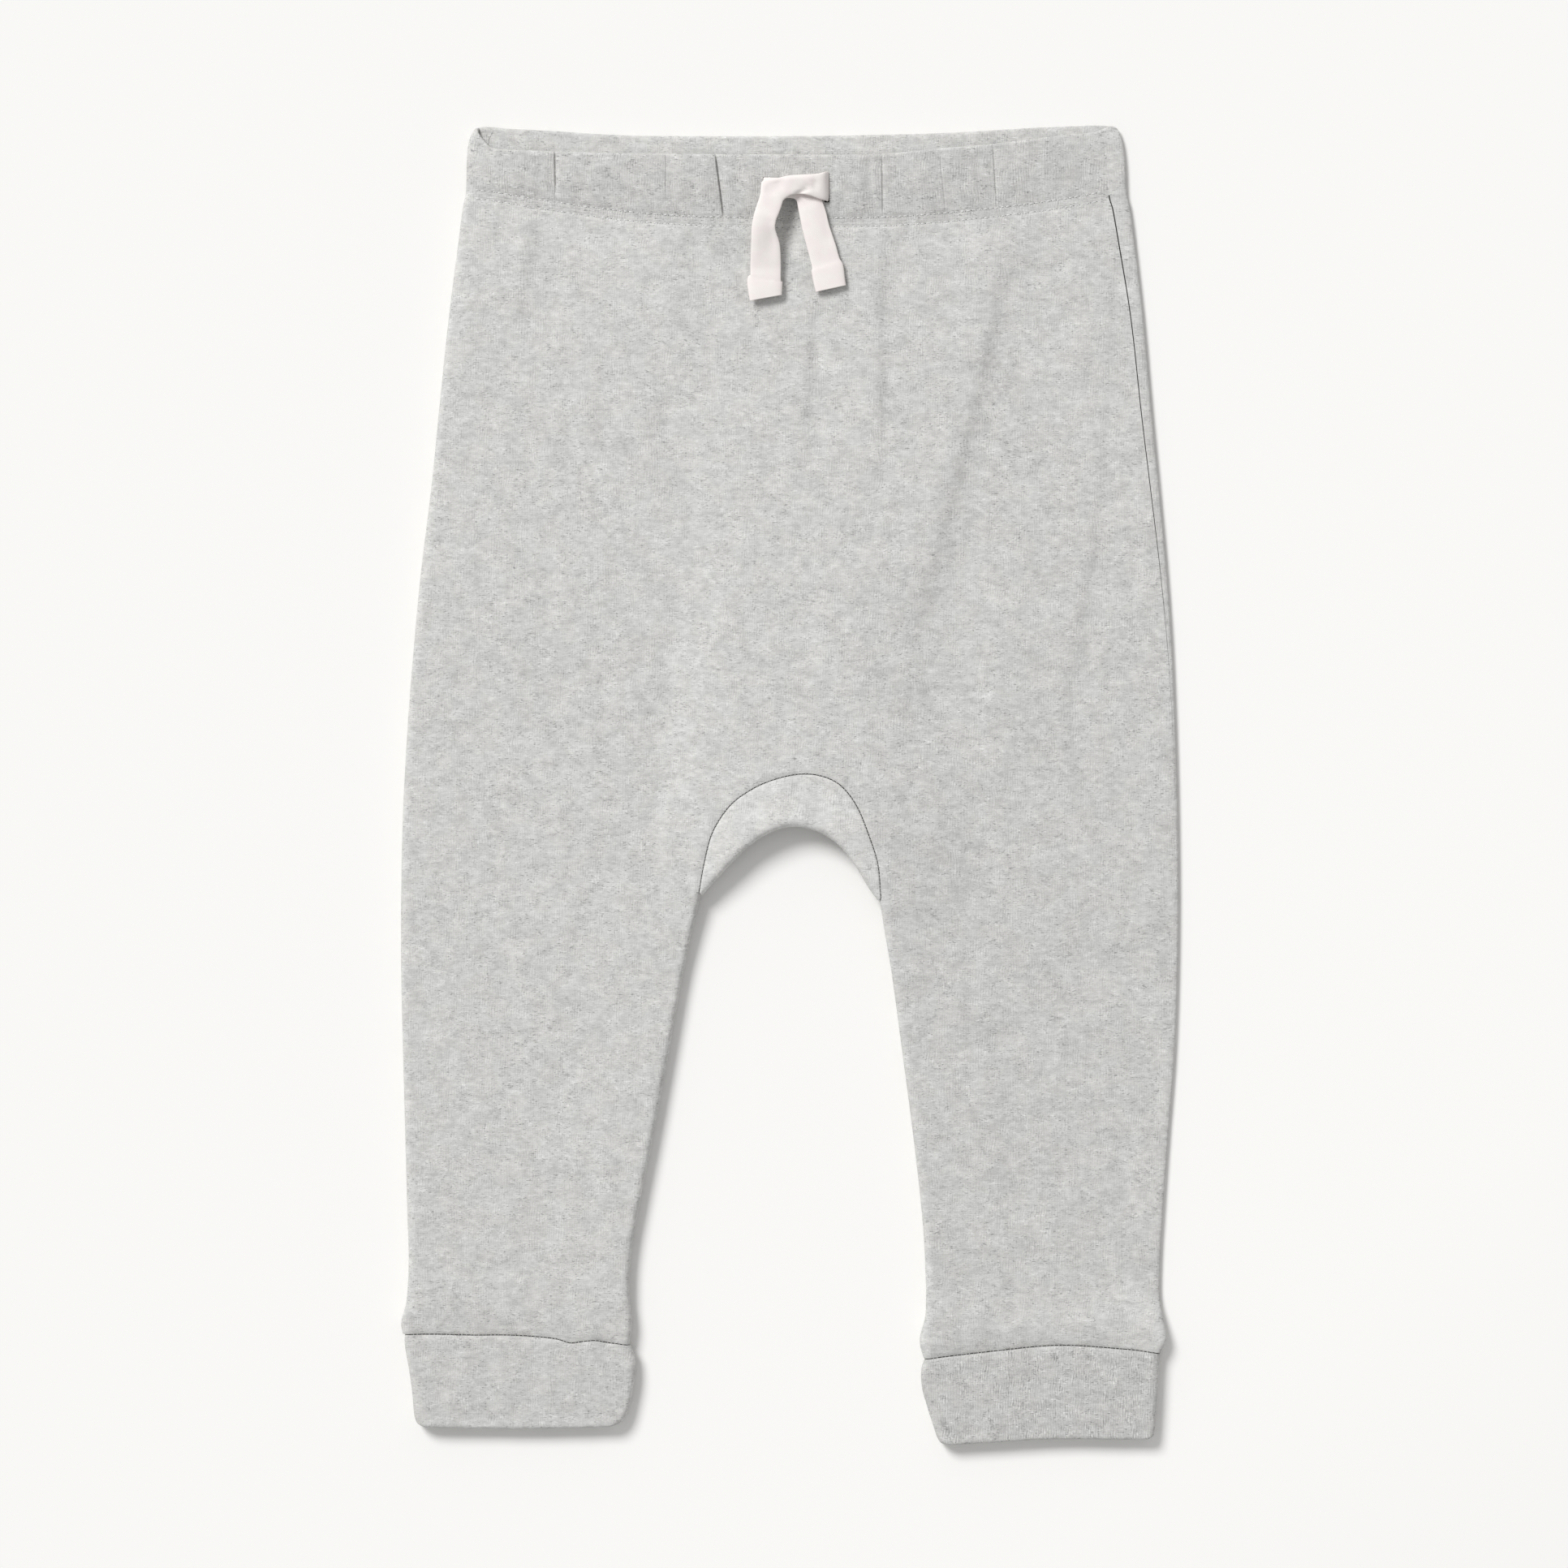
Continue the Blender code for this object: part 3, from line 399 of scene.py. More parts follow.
overCreases = [  # in the tape, with the columns of frontFolds
    (-7.4, 188.8, -2.4, 192.4, 1.0, -0.75, 0),
    (1.5, 188.3, 9.4, 192.0, 0.6, -0.75, 0),
    (-1.5, 193.2, 8.0, 193.6, 1.4, 0.35, 0),
    (-9.6, 184.0, -10.4, 166.0, 2.6, 0.35, 0),
    (-6.0, 181.0, -6.6, 168.0, 2.0, -0.4, 0),
]
underCreases = [
    (5.2, 186.0, 9.6, 168.0, 3.0, 0.3, 0),
    (10.6, 187.0, 12.6, 172.0, 1.6, -0.3, 0),
]


print("drawstring")
for name, which, pulls, creases, lean, length in (
    ("drawstring_left_end", "over", drawstring["overPulls"], overCreases, -0.11, 0.064),
    ("drawstring_right_end", "under", [], underCreases, -0.01, 0.059),
):
    strand, path = addStrand(name, drawstring[which], pulls, creases, lean)
    dress(strand, "drawstring_" + which)


# how the pants lie, in mm
lie = {
    "roll": 3.1,  # radius of the rolled edges
    "square": 3.0,  # how square the rolled edges are, 2 being round
    "seam": 0.3,  # between sewn pieces
    "sag": 0.7, "sagReach": 26.0,  # the front sinks this much, this far in from the sides
    "crotch": (-3.0, 226.0), "crotchLift": 4.4,  # the cloth is lifted here
    "crotchReach": (46.0, 66.0), "crotchAbove": 125.0, "crotchBelow": 80.0,  # left and right, up and down
    "flatter": 0.6,  # share of its height that the right side loses, this far in and down to these levels
    "flatterIn": 92.0, "flatterDown": (372.0, 390.0),
    "corner": (92.0, 105.0), "cornerDown": (2.0, 26.0),  # the waist's left end, which loses half of that
    "wrap": 0.94,  # how far round the side folds the cloth goes, as a share of the way to the seam
    "jersey": 1.4, "casing": 2.3, "cuff": 2.4,  # thickness
    "fineSteps": (0.22, 0.35, 0.55), "step": 0.62, "sideCloth": 9.0,  # of the mesh round the side folds
}
roll = lie["roll"]
quarter = roll * math.pi / 2

outline = {
    "sides": [  # down, left, right
        (0, -103.0, 102.5), (5, -105.3, 104.3), (12, -106.0, 105.2), (22, -106.3, 105.7),
        (26, -107.2, 106.7), (38, -108.7, 108.3), (64, -112.0, 111.2), (90, -114.7, 113.5),
        (116, -117.3, 116.0), (142, -120.5, 118.4), (168, -123.0, 120.2), (194, -125.0, 121.3),
        (220, -126.4, 122.0), (246, -127.0, 122.3), (272, -127.0, 122.0), (298, -126.4, 121.0),
        (324, -125.7, 119.0), (350, -125.0, 117.2), (364, -124.6, 116.4), (377, -125.3, 116.3),
        (384, -127.0, 117.6), (389, -126.2, 118.3), (394, -126.0, 116.2),
    ],
    "leftInseam": [  # down, x
        (247, -31.0), (256, -33.2), (274, -37.0), (301, -41.9), (323, -46.0),
        (343, -50.0), (361, -53.2), (375, -53.8), (383, -53.0), (392, -54.0),
    ],
    "rightInseam": [
        (248, 26.2), (259, 28.0), (272, 30.2), (298, 33.7), (324, 37.1),
        (350, 40.0), (366, 41.0), (381, 41.1), (390, 39.2), (397, 41.0),
    ],
    "gusset": [  # step, seam x, seam down, fold x, fold down
        (0, -31.5, 246.0, -30.5, 247.0), (1, -29.7, 236.0, -26.0, 242.0),
        (2, -27.0, 226.5, -21.5, 237.2), (3, -21.5, 218.2, -16.0, 231.7),
        (4, -14.5, 213.0, -10.7, 228.0), (5, -7.0, 209.8, -5.5, 225.7),
        (6, 1.0, 208.2, 0.0, 225.0), (7, 8.0, 208.9, 5.8, 226.4),
        (8, 14.0, 212.0, 11.0, 229.2), (9, 19.0, 218.5, 15.5, 233.4),
        (10, 22.8, 227.7, 19.3, 238.7), (11, 25.7, 237.0, 22.6, 244.3),
        (12, 26.7, 247.5, 25.9, 248.8),
    ],
    "gussetCorners": (3, 9),  # steps at which the legs' rows begin
    "sideSeam": [  # down, cloth in from the fold
        (0, 8.0), (30, 7.4), (60, 6.0), (100, 5.1), (140, 4.0),
        (180, 2.8), (212, 2.1), (250, 1.5), (400, 1.3),
    ],
    "frontSeam": [  # x, down
        (-106, 22.4), (-98, 23.2), (-81, 25.9), (-66, 28.1), (-48, 30.1), (-30, 31.1), (-5, 31.5),
        (25, 31.3), (43, 30.2), (63, 28.1), (82, 25.6), (98, 22.8), (106, 21.4),
    ],
    "backSeam": [(-106, 22.4), (-60, 23.6), (0, 24.0), (60, 22.8), (106, 21.2)],
    "frontTop": [
        (-106, 2.0), (-103.5, 1.2), (-101, 4.4), (-98, 7.4), (-90, 8.2), (-77, 8.7),
        (-47, 9.4), (-5, 9.7), (26, 9.5), (46, 7.6), (63, 6.0), (83, 3.5),
        (95, 2.2), (98, 1.2), (101, 0.2), (104, 1.6), (106, 4.0),
    ],
    "backTop": [
        (-106, 2.0), (-103, 0.4), (-92, 1.0), (-77, 1.8), (-60, 2.9), (-45, 3.3), (5, 3.3),
        (26, 2.9), (47, 2.3), (66, 1.2), (85, 0.2), (100, 0.0), (104, 1.6), (106, 4.0),
    ],
}
sideEdge = {"left": curve(outline["sides"], 0, 1), "right": curve(outline["sides"], 0, 2)}
inseam = {which: curve(outline[which + "Inseam"], 0, 1) for which in ("left", "right")}
seamIn, frontSeam, backSeam, frontTop, backTop = [
    curve(outline[name], 0, 1) for name in ("sideSeam", "frontSeam", "backSeam", "frontTop", "backTop")
]
gussetSeam, gussetFold = [
    [curve(outline["gusset"], 0, column) for column in pair] for pair in ((1, 2), (3, 4))
]
lastStep = outline["gusset"][-1][0]


def onLine(line, at):  # points on a line given as two curves
    return np.stack([f(at) for f in line], -1)


# the fold between the legs, from the left cuff up round the gusset and down to the right cuff
gussetSteps = np.linspace(0, lastStep, 90)
leftDown, rightDown = np.arange(402, 247.5, -3.0), np.arange(251, 403, 3.0)
foldLine = np.concatenate([
    np.stack([inseam["left"](leftDown), leftDown], 1),
    onLine(gussetFold, gussetSteps),
    np.stack([inseam["right"](rightDown), rightDown], 1),
])
seamLine = onLine(gussetSeam, gussetSteps)


def nearest(x, down, line):  # distance in plan to a line of points, and the way out to it
    shape = np.shape(x)
    here = np.stack([np.ravel(x), np.ravel(down)], 1)
    best = np.full(len(here), np.inf)
    way = np.zeros((len(here), 2))
    for a, b in zip(line, line[1:]):
        ahead = b - a
        t = np.clip((here - a) @ ahead / (ahead @ ahead), 0, 1)
        away = a + t[:, None] * ahead - here
        length = np.linalg.norm(away, axis=1)
        closer = length < best
        square = np.array([-ahead[1], ahead[0]]) / np.linalg.norm(ahead)
        out = np.where((length > 0.5)[:, None], away / np.maximum(length, 1e-9)[:, None], square)
        best[closer], way[closer] = length[closer], out[closer]
    return best.reshape(shape), way.reshape(*shape, 2)


def edgeShape(out):  # a rolled edge's height and facing, with "out" 1 at the fold and 0 a radius in
    power = lie["square"]
    high = np.maximum(1 - out**power, 0) ** (1 / power)
    outwards, upwards = out ** (power - 1), high ** (power - 1)
    length = np.hypot(outwards, upwards)
    return high, outwards / length, upwards / length


def rolled(cloth):  # how far in from a fold and how high this much cloth is, and how it faces
    out = np.maximum(np.cos(np.minimum(np.abs(cloth) / roll, math.pi / 2)), 0)
    inset = roll * (1 - out) + np.maximum(np.abs(cloth) - quarter, 0)
    high, outwards, upwards = edgeShape(out)
    return inset, roll + roll * np.sign(cloth) * high, outwards, np.sign(cloth) * upwards


def crotchLift(x, down):
    middle, level = lie["crotch"]
    above, below = np.maximum(level - down, 0), np.maximum(down - level, 0)
    aside = (x - middle) / np.where(x < middle, *lie["crotchReach"])
    away = np.abs(aside) ** 2.6 + above / lie["crotchAbove"] + below / lie["crotchBelow"]
    return lie["crotchLift"] * np.maximum(0, 1 - away) ** 1.3


def pressed(x, down):  # the right side, and the left end of the waist, lie flatter
    right = soft(x - sideEdge["right"](down), -lie["flatterIn"], 0) * (1 - soft(down, *lie["flatterDown"]))
    left = 0.5 * soft(-x, *lie["corner"]) * (1 - soft(down, *lie["cornerDown"]))
    return 1 - lie["flatter"] * np.maximum(right, left)


# folds, in mm from the middle of the model
frontFolds = [  # x and y of the top, x and y of the bottom, half width, rise, reach of a step or 0
    (75.0, 182.0, 46.5, 60.0, 2.4, 1.75, 24),
    (72.0, 170.0, 48.5, 72.0, 2.0, -0.5, 0),
    (46.0, 74.0, 36.0, 12.0, 5.0, 1.3, 26),
    (29.4, 180.0, 29.2, 98.0, 1.3, 1.0, 14),
    (7.4, 154.0, 5.4, 108.0, 1.2, 1.15, 12),
    (104.2, 172.0, 100.0, 92.0, 1.4, 1.2, 14),
    (100.8, 104.0, 88.0, 14.0, 1.8, 1.9, 18),
    (-24.0, 132.0, -33.0, -14.0, 5.5, -1.2, 34),
    (24.0, 92.0, 33.0, -8.0, 7.0, 0.7, 30),
    (69.0, 70.0, 66.4, -6.0, 8.0, 0.5, 0),
    (-37.7, 60.0, -45.0, -44.0, 7.0, -0.45, 0),
    (-32.0, 182.0, -35.0, 146.0, 7.0, 1.1, 18),
    (-14.0, 190.0, -17.0, 164.0, 7.0, -0.7, 0),
    (-82.0, 184.0, -87.0, 140.0, 1.8, 0.7, 14),
    (77.5, -136.0, 84.0, -158.0, 9.0, 0.45, 0),
    (46.0, 62.0, 40.0, 44.0, 7.0, -0.6, 0),
    (40.5, -64.0, 43.0, -92.0, 3.0, 0.5, 12),
    (111.1, -112.0, 107.0, -140.0, 5.0, -0.4, 0),
    (-92.0, -120.0, -86.0, -160.0, 8.0, 0.4, 0),
]
knotDent = [(-0.2, 191.0, -3.2, 170.0, 3.6, -2.3, 0)]
backFolds = [  # the same, rising off the floor, into the pants
    (-60.0, 170.0, -44.0, 84.0, 5.0, 1.1, 0),
    (24.0, 172.0, 33.0, 92.0, 4.5, 0.9, 0),
    (70.0, 160.0, 84.0, 60.0, 6.0, 1.0, 0),
    (-30.0, 60.0, -52.0, -30.0, 6.5, 1.1, 0),
    (26.0, 48.0, 58.0, -24.0, 6.5, 1.0, 0),
    (-96.0, 60.0, -90.0, -20.0, 5.0, 0.7, 0),
    (-84.0, -60.0, -78.0, -150.0, 6.0, 0.8, 0),
    (78.0, -56.0, 72.0, -148.0, 6.0, 0.8, 0),
    (-6.0, 150.0, -10.0, 40.0, 7.0, 0.6, 0),
]


cuffs = {
    "left": {
        "way": -1, "seed": 7.0, "lobeSeed": 3.1,
        "tip": 246.0,  # down to where the gusset ends on the inseam
        "seam": [
            (-126, 387.6), (-114.6, 387.6), (-103.3, 387.9), (-92.7, 387.9), (-83.6, 388.4), (-76.8, 389.2),
            (-72.7, 390.4), (-68.5, 389.9), (-64.7, 389.6), (-61.7, 390.1), (-55, 390.9), (-52, 391.2),
        ],
        "hem": [(-122, 417.4), (-88, 417.9), (-58, 417.2)],
        "sides": [  # share of the way to the hem, left, right
            (0.0, -125.8, -53.6), (0.1, -125.9, -52.2), (0.32, -124.8, -51.9), (0.62, -123.5, -53.1),
            (0.85, -122.9, -54.7), (0.95, -122.0, -56.6), (1.0, -120.2, -58.8),
        ],
    },
    "right": {
        "way": 1, "seed": 8.0, "lobeSeed": 5.2,
        "tip": 248.0,
        "seam": [(40, 395.6), (64, 392.9), (84, 391.2), (105, 392.4), (117, 393.8)],
        "hem": [(46, 423.3), (58, 422.5), (82, 421.2), (113, 421.4)],
        "sides": [
            (0.0, 40.8, 116.2), (0.1, 39.8, 115.9), (0.3, 39.8, 115.6), (0.52, 41.3, 115.3),
            (0.75, 43.3, 114.9), (0.95, 45.4, 114.2), (1.0, 47.4, 112.8),
        ],
    },
}
cuffSeam = {which: curve(cuffs[which]["seam"], 0, 1) for which in cuffs}
cuffGrid = {
    "tall": 27.5,
    "atSeam": (0, 0.2, 0.5), "fromSeam": 0.9,  # mm down to the first rows, and to the even ones
    "atHem": (0.12, 0.18, 0.25, 0.3, 0.3, 0.4), "rowStep": 0.95,
    "bendColumns": 15, "columns": 72,
    "hemSlack": 0.08,  # by which the hem's fold is tighter than half of the cloth's thickness
}

casing = {
    "pleats": [  # x, lean, share of the way down at which it starts, and at which it ends, depth, crease
        (-75.3, 0.3, 0.02, 0.72, 0.8, 0.8),
        (-39.7, 0.0, 0.05, 0.6, 0.4, 0.25),
        (-23.9, 2.8, 0.02, 0.9, 0.6, 1.2),
        (25.6, 0.6, 0.0, 0.95, 0.8, 0.0),
        (29.4, 0.4, 0.02, 0.85, 0.3, 0.5),
        (47.8, 2.2, 0.1, 0.9, 0.4, 0.25),
        (65.0, 1.4, 0.05, 0.8, 0.6, 0.6),
    ],
    "half": 106.0,  # of the flat waist
    "atTop": (0, 0.12, 0.3, 0.55, 0.85, 1.15), "tall": 21.5,  # mm down to the first rows, and to the seam
    "even": 0.085, "rows": 34, "columns": 400,  # share of the way down at which the even rows start
    "topSlack": 0.06,  # by which the top fold is tighter than half of the cloth's thickness
    "sinking": (2.2, 1.3), "creased": 0.24,  # a pleat's half widths to left and right, and its crease's
}


def casingTop(x, share):  # share goes from the under face to the upper one
    return mix(backTop(x), frontTop(x), share)


def casingSeam(x, share):
    return mix(backSeam(x), frontSeam(x), share)


seams = {  # mm by which the cloth rises or is drawn in beside its seams, and how far off that reaches
    "stitched": 1.4,  # from a seam to each of its twin stitch rows
    "twinRows": (-0.32, 0.45), "betweenRows": (-0.10, 3.2), "puckers": (0.07, 5.0), "backRows": (0.3, 0.5),
    "gusset": (-0.35, 0.5), "besideGusset": (0.12, 2.0), "insideGusset": (-0.35, 0.45),
    "aboveCuff": (-1.1, 5.0), "cuff": (-0.4, 0.7), "belowCuff": (-0.5, 0.7), "cuffFold": (-0.12, 1.0),
    "puffs": (0.4, 10), "flutes": (0.16, 6.0), "backCuff": (0.45, 1.2), "backFlutes": (0.25, 5),
}


lumps = {  # rise, size and seed of the cloth's unevenness, in mm
    "front": (0.16, 46, 1.0), "frontFine": (0.05, 17, 2.0), "back": (0.12, 38, 4.0),
    "gusset": (0.10, 9, 2.2), "cuffFine": (0.05, 6, 1.0),
    "casing": (0.24, 13, 6.0), "backCasing": (0.25, 11, 3.0),
}


def lumpy(name, x, y):
    rise, size, seed = lumps[name]
    return rise * wander(x, y, size, seed)


def fades(name, off):  # sharpest at the seam
    rise, reach = seams[name]
    return rise * np.exp(-off / reach)


def swells(name, off):  # rounded, with "off" 0 in its middle
    rise, reach = seams[name]
    return rise * np.exp(-(off / reach) ** 2)


def flutes(x, often, strayed, slowly):  # small waves along a seam, unevenly spaced
    return np.sin(x * often + strayed * np.sin(x * slowly))


def seamDents(x, down):
    # cloth is drawn in along the twin stitch rows, and puckers a little beside them
    off = down - frontSeam(x)
    rows = swells("twinRows", np.abs(off) - seams["stitched"])
    return rows + swells("betweenRows", off) + flutes(x, 1.9, 1.3, 0.31) * swells("puckers", off - 1)


def backSeamRise(x, down):
    return swells("backRows", np.abs(down - backSeam(x)) - seams["stitched"])


def cuffPuffs(x, down, which):
    # the wider leg is eased into the cuff: it swells a little, then falls to the seam in small flutes
    above = np.maximum(cuffSeam[which](x) - down, 0)
    lobes = 1 + 0.45 * wander(x, 0 * x, 18, cuffs[which]["lobeSeed"])
    puffs = lobes * swells("puffs", above - 12)
    waves = flutes(x, 0.9, 2.2, 0.17) * fades("flutes", above) * soft(above, 0, 2)
    return puffs + waves + fades("aboveCuff", above) + fades("cuff", above)


def nearCuff(x, down, which, rise):
    return np.where((x * cuffs[which]["way"] > 20) & (down > 370), rise, 0)


def frontRise(x, down):
    wx, wy = fromMiddle(x, down)
    seamOff = nearest(x, down, seamLine)[0]
    rise = folded(wx, wy, frontFolds) + lumpy("front", wx, wy) + lumpy("frontFine", wx, wy)
    rise = rise * soft(down - frontSeam(x), 0, 9) + folded(wx, wy, knotDent) + seamDents(x, down)
    rise = rise + fades("gusset", seamOff) + swells("besideGusset", seamOff - 2.5)
    for which in cuffs:
        rise = rise + nearCuff(x, down, which, cuffPuffs(x, down, which))
    return rise


def backRise(x, down):
    wx, wy = fromMiddle(x, down)
    rise = np.maximum(folded(wx, wy, backFolds) + lumpy("back", wx, wy), 0)
    rise = rise + backSeamRise(x, down)
    for which in cuffs:
        above = np.maximum(cuffSeam[which](x) - down, 0)
        drawn = fades("backCuff", above) + (1 + np.sin(x * 0.8)) * fades("backFlutes", above)
        rise = rise + nearCuff(x, down, which, drawn)
    return rise


def pinched(fromEdge, turn):  # how far a skin turns inwards, this far from a folded edge of this radius
    return turn - np.sqrt(np.maximum(turn**2 - (turn - np.minimum(fromEdge, turn)) ** 2, 0))


def flatPart(inset, upwards):  # 1 where the cloth lies flat, 0 on the rolled edges
    return np.clip(inset / (2 * roll), 0, 1) * (upwards > 0)


def shell(name, grids, material):
    # each grid is the outer and the inner skin, as points in mm. The grids share their borders.
    mesh = bmesh.new()
    key = mesh.verts.layers.int.new("key")
    inner = []
    for above, below in grids:
        for number, vert in enumerate(addGrid(mesh, above), len(inner)):
            vert[key] = number
        inner.extend((below * mm).reshape(-1, 3).tolist())
    bmesh.ops.remove_doubles(mesh, verts=mesh.verts, dist=0.00002)
    made = bmesh.ops.solidify(mesh, geom=mesh.faces[:], thickness=0.0005)["geom"]
    for vert in made:
        if isinstance(vert, bmesh.types.BMVert):
            vert.co = inner[vert[key]]
    mesh.verts.layers.int.remove(key)
    bmesh.ops.recalc_face_normals(mesh, faces=mesh.faces)
    return finish(mesh, name, material)


def steps(length, fine, coarse):
    # shares from 0 to 1, with a few fine steps at the start
    start = np.cumsum([0, *fine]) / length
    rest = np.linspace(start[-1], 1, max(2, int(round((1 - start[-1]) * length / coarse)) + 1))
    return np.r_[start, rest[1:]]


def offSeam(step, side):
    # a point of the gusset's seam, moved off it to the panel's side (1) or the gusset's (-1)
    before, after = np.maximum(step - 0.05, 0), np.minimum(step + 0.05, lastStep)
    ahead = onLine(gussetSeam, after) - onLine(gussetSeam, before)
    away = unit(np.stack([ahead[..., 1], -ahead[..., 0]], -1))
    return onLine(gussetSeam, step) + side * away * lie["seam"] / 2


sideShares = steps(lie["sideCloth"], lie["fineSteps"], lie["step"])


def roundSide(reach, inwards):
    # cloth round a side fold, from the seam, which is on the other face, or on this one if reach is negative
    start = -reach * inwards
    end = quarter if reach > 0 else quarter + start
    return start + (end - start) * sideShares


panelGrid = {
    "archDown": 206.0,  # of the legs' first row at the sides
    "middle": 34.0, "middleColumns": 42,  # the part above the gusset: half its width at the waist
    "stripColumns": 50, "rollColumns": 9, "archRows": 25,
    "body": 180, "leg": 145,  # about how long the rows' steps are counted over
    "rowStep": 1.75, "legStep": 1.8,
    "atCasing": (0.4, 0.5, 0.5, 0.5, 0.5, 0.6, 0.8), "atGusset": (0.25, 0.4, 0.6),  # fine steps beside seams
    "atCuff": (0.25, 0.35, 0.5, 0.6, 0.8, 0.9, 0.9, 0.9, 0.9, 1.0, 1.0),
    "belowGusset": 0.0025,  # of the leg, to its first row on the fold
    "outside": 120.0,  # x beyond the legs
}


class Panel:  # the front or the back, as rows of columns
    def __init__(self, up, reachLeft, reachRight):
        self.up = up
        self.reach = {"left": reachLeft, "right": reachRight}

    def lay(self, rows, foldedFrom=None):
        # rows of x, down, inset, height and facing become points of the outer and inner skins
        x, down, inset, height = [rows[..., k] for k in range(4)]
        facing = rows[..., 4:]
        fold, way = nearest(x, down, foldLine)
        if foldedFrom:  # from this row on, the rows end on the fold itself
            legs = slice(foldedFrom, None)
            off = np.abs(x[legs] - x[legs, -1:])
            fold[legs] = np.where(off < roll, off * np.abs(way[legs, :, 0]), fold[legs])
        rise, outwards, upwards = edgeShape(np.maximum(roll - fold, 0) / roll)
        within = np.isnan(height)
        height = np.where(within, roll + np.maximum(roll * rise, lie["seam"] / 2), height)
        turned = np.stack([way[..., 0] * outwards, -way[..., 1] * outwards, upwards], -1)
        facing = np.where(within[..., None], turned, facing)
        inset = np.minimum(inset, fold)
        flat = flatPart(inset, facing[..., 2])
        if self.up:
            sunk = lie["sag"] * np.clip((inset - 2 * roll) / lie["sagReach"], 0, 1)
            height = height + (frontRise(x, down) - sunk) * flat
        else:
            height = 2 * roll - height + backRise(x, down) * flat
            facing = facing * (1, 1, -1)
        press = pressed(x, down)
        spot = place(x, down, (height + crotchLift(x, down)) * press)
        return spot, spot - facing * (lie["jersey"] * press)[..., None]

    def inside(self, x, down, inset):
        unknown = np.full(len(x), np.nan)
        return np.stack(np.broadcast_arrays(x, down, inset, unknown, unknown, unknown, unknown), -1)

    def strip(self, which, edge, end, line, leg):
        # one row, from the side's seam to the strip's inner end
        way = cuffs[which]["way"]
        inwards = seamIn(line(edge, 0.0, float(self.up)))
        inset, height, outwards, upwards = rolled(roundSide(self.reach[which], inwards))
        share = height / (2 * roll) if self.up else 1 - height / (2 * roll)
        whole = abs(edge - end)
        x = edge - way * inset
        down = line(x, inset / whole, share)
        side = np.stack([x, down, inset, height, way * outwards, 0 * x, upwards], -1)
        length = whole - inset[-1]
        columns, rollColumns = panelGrid["stripColumns"], panelGrid["rollColumns"]
        if leg:  # closer together on the fold
            near = roll * (1 - np.cos(np.linspace(0, math.pi / 2, rollColumns)))
            off = np.r_[np.linspace(length, near[-1], columns + 1)[1:], near[::-1][1:]]
        else:
            off = np.linspace(length, 0, columns + rollColumns)[1:]
        x = end + way * off
        return np.concatenate([side, self.inside(x, line(x, 1 - off / whole, float(self.up)), whole - off)])

    def bodyRow(self, t):
        low, high = outline["gussetCorners"]
        corners = [offSeam(float(step), 1) for step in (low, high)]
        middle = panelGrid["middle"]

        def line(x, inwards, share):
            corner = np.where(np.asarray(x) > 0, corners[1][1], corners[0][1])
            return mix(casingSeam(x, share), mix(panelGrid["archDown"], corner, inwards), t)

        parts = {}
        for which, corner in zip(cuffs, corners):
            way = cuffs[which]["way"]
            edge = float(sideEdge[which](line(way * casing["half"], 0.0, float(self.up))))
            parts[which] = self.strip(which, edge, mix(way * middle, corner[0], t), line, False)
        across = np.linspace(0, 1, panelGrid["middleColumns"])[1:-1]
        bottom = offSeam(low + (high - low) * across, 1)
        top = mix(-middle, middle, across)
        x = mix(top, bottom[:, 0], t)
        down = mix(casingSeam(top, float(self.up)), bottom[:, 1], t)
        return np.concatenate([parts["left"], self.inside(x, down, 1e3), parts["right"][::-1]])

    def archRow(self, which, step):
        low, high = outline["gussetCorners"]
        inner = offSeam(low - step if which == "left" else high + step, 1)
        edgeDown = mix(panelGrid["archDown"], cuffs[which]["tip"], step / low)

        def line(x, inwards, share):
            return mix(edgeDown, inner[1], inwards)

        return self.strip(which, float(sideEdge[which](edgeDown)), float(inner[0]), line, True)

    def legRow(self, which, t):
        cuff = cuffs[which]

        def line(x, inwards, share):
            return mix(cuff["tip"], cuffSeam[which](x) - lie["seam"] / 2, t)

        edgeDown = line(cuff["way"] * panelGrid["outside"], 0.0, 0.0)
        end = float(inseam[which](line(inseam[which](edgeDown), 1.0, 0.0)))
        return self.strip(which, float(sideEdge[which](edgeDown)), end, line, True)

    def grids(self):
        fromTop = steps(panelGrid["body"], panelGrid["atCasing"], panelGrid["rowStep"])
        toArch = 1 - steps(panelGrid["body"], panelGrid["atGusset"], panelGrid["rowStep"])[::-1]
        fromTop = fromTop[fromTop < 0.9]
        rows = np.r_[fromTop, toArch[toArch > fromTop[-1] + 0.006]]
        found = [self.lay(np.stack([self.bodyRow(t) for t in rows]))]
        toCuff = 1 - steps(panelGrid["leg"], panelGrid["atCuff"], panelGrid["legStep"])[::-1]
        for which in cuffs:
            archSteps = np.linspace(0, outline["gussetCorners"][0], panelGrid["archRows"])
            arch = [self.archRow(which, step) for step in archSteps]
            legs = [self.legRow(which, t) for t in np.r_[panelGrid["belowGusset"], toCuff[1:]]]
            found.append(self.lay(np.stack(arch + legs), len(arch)))
        return found


print("panels")
frontPanel = shell("front_panel_cloth", Panel(True, lie["wrap"], -1).grids(), jersey)
backPanel = shell("back_panel_cloth", Panel(False, -1, lie["wrap"]).grids(), jersey)
for panel, node in ((frontPanel, "front_panel"), (backPanel, "back_panel")):
    dress(panel, node)
    print(node, len(panel.data.polygons))


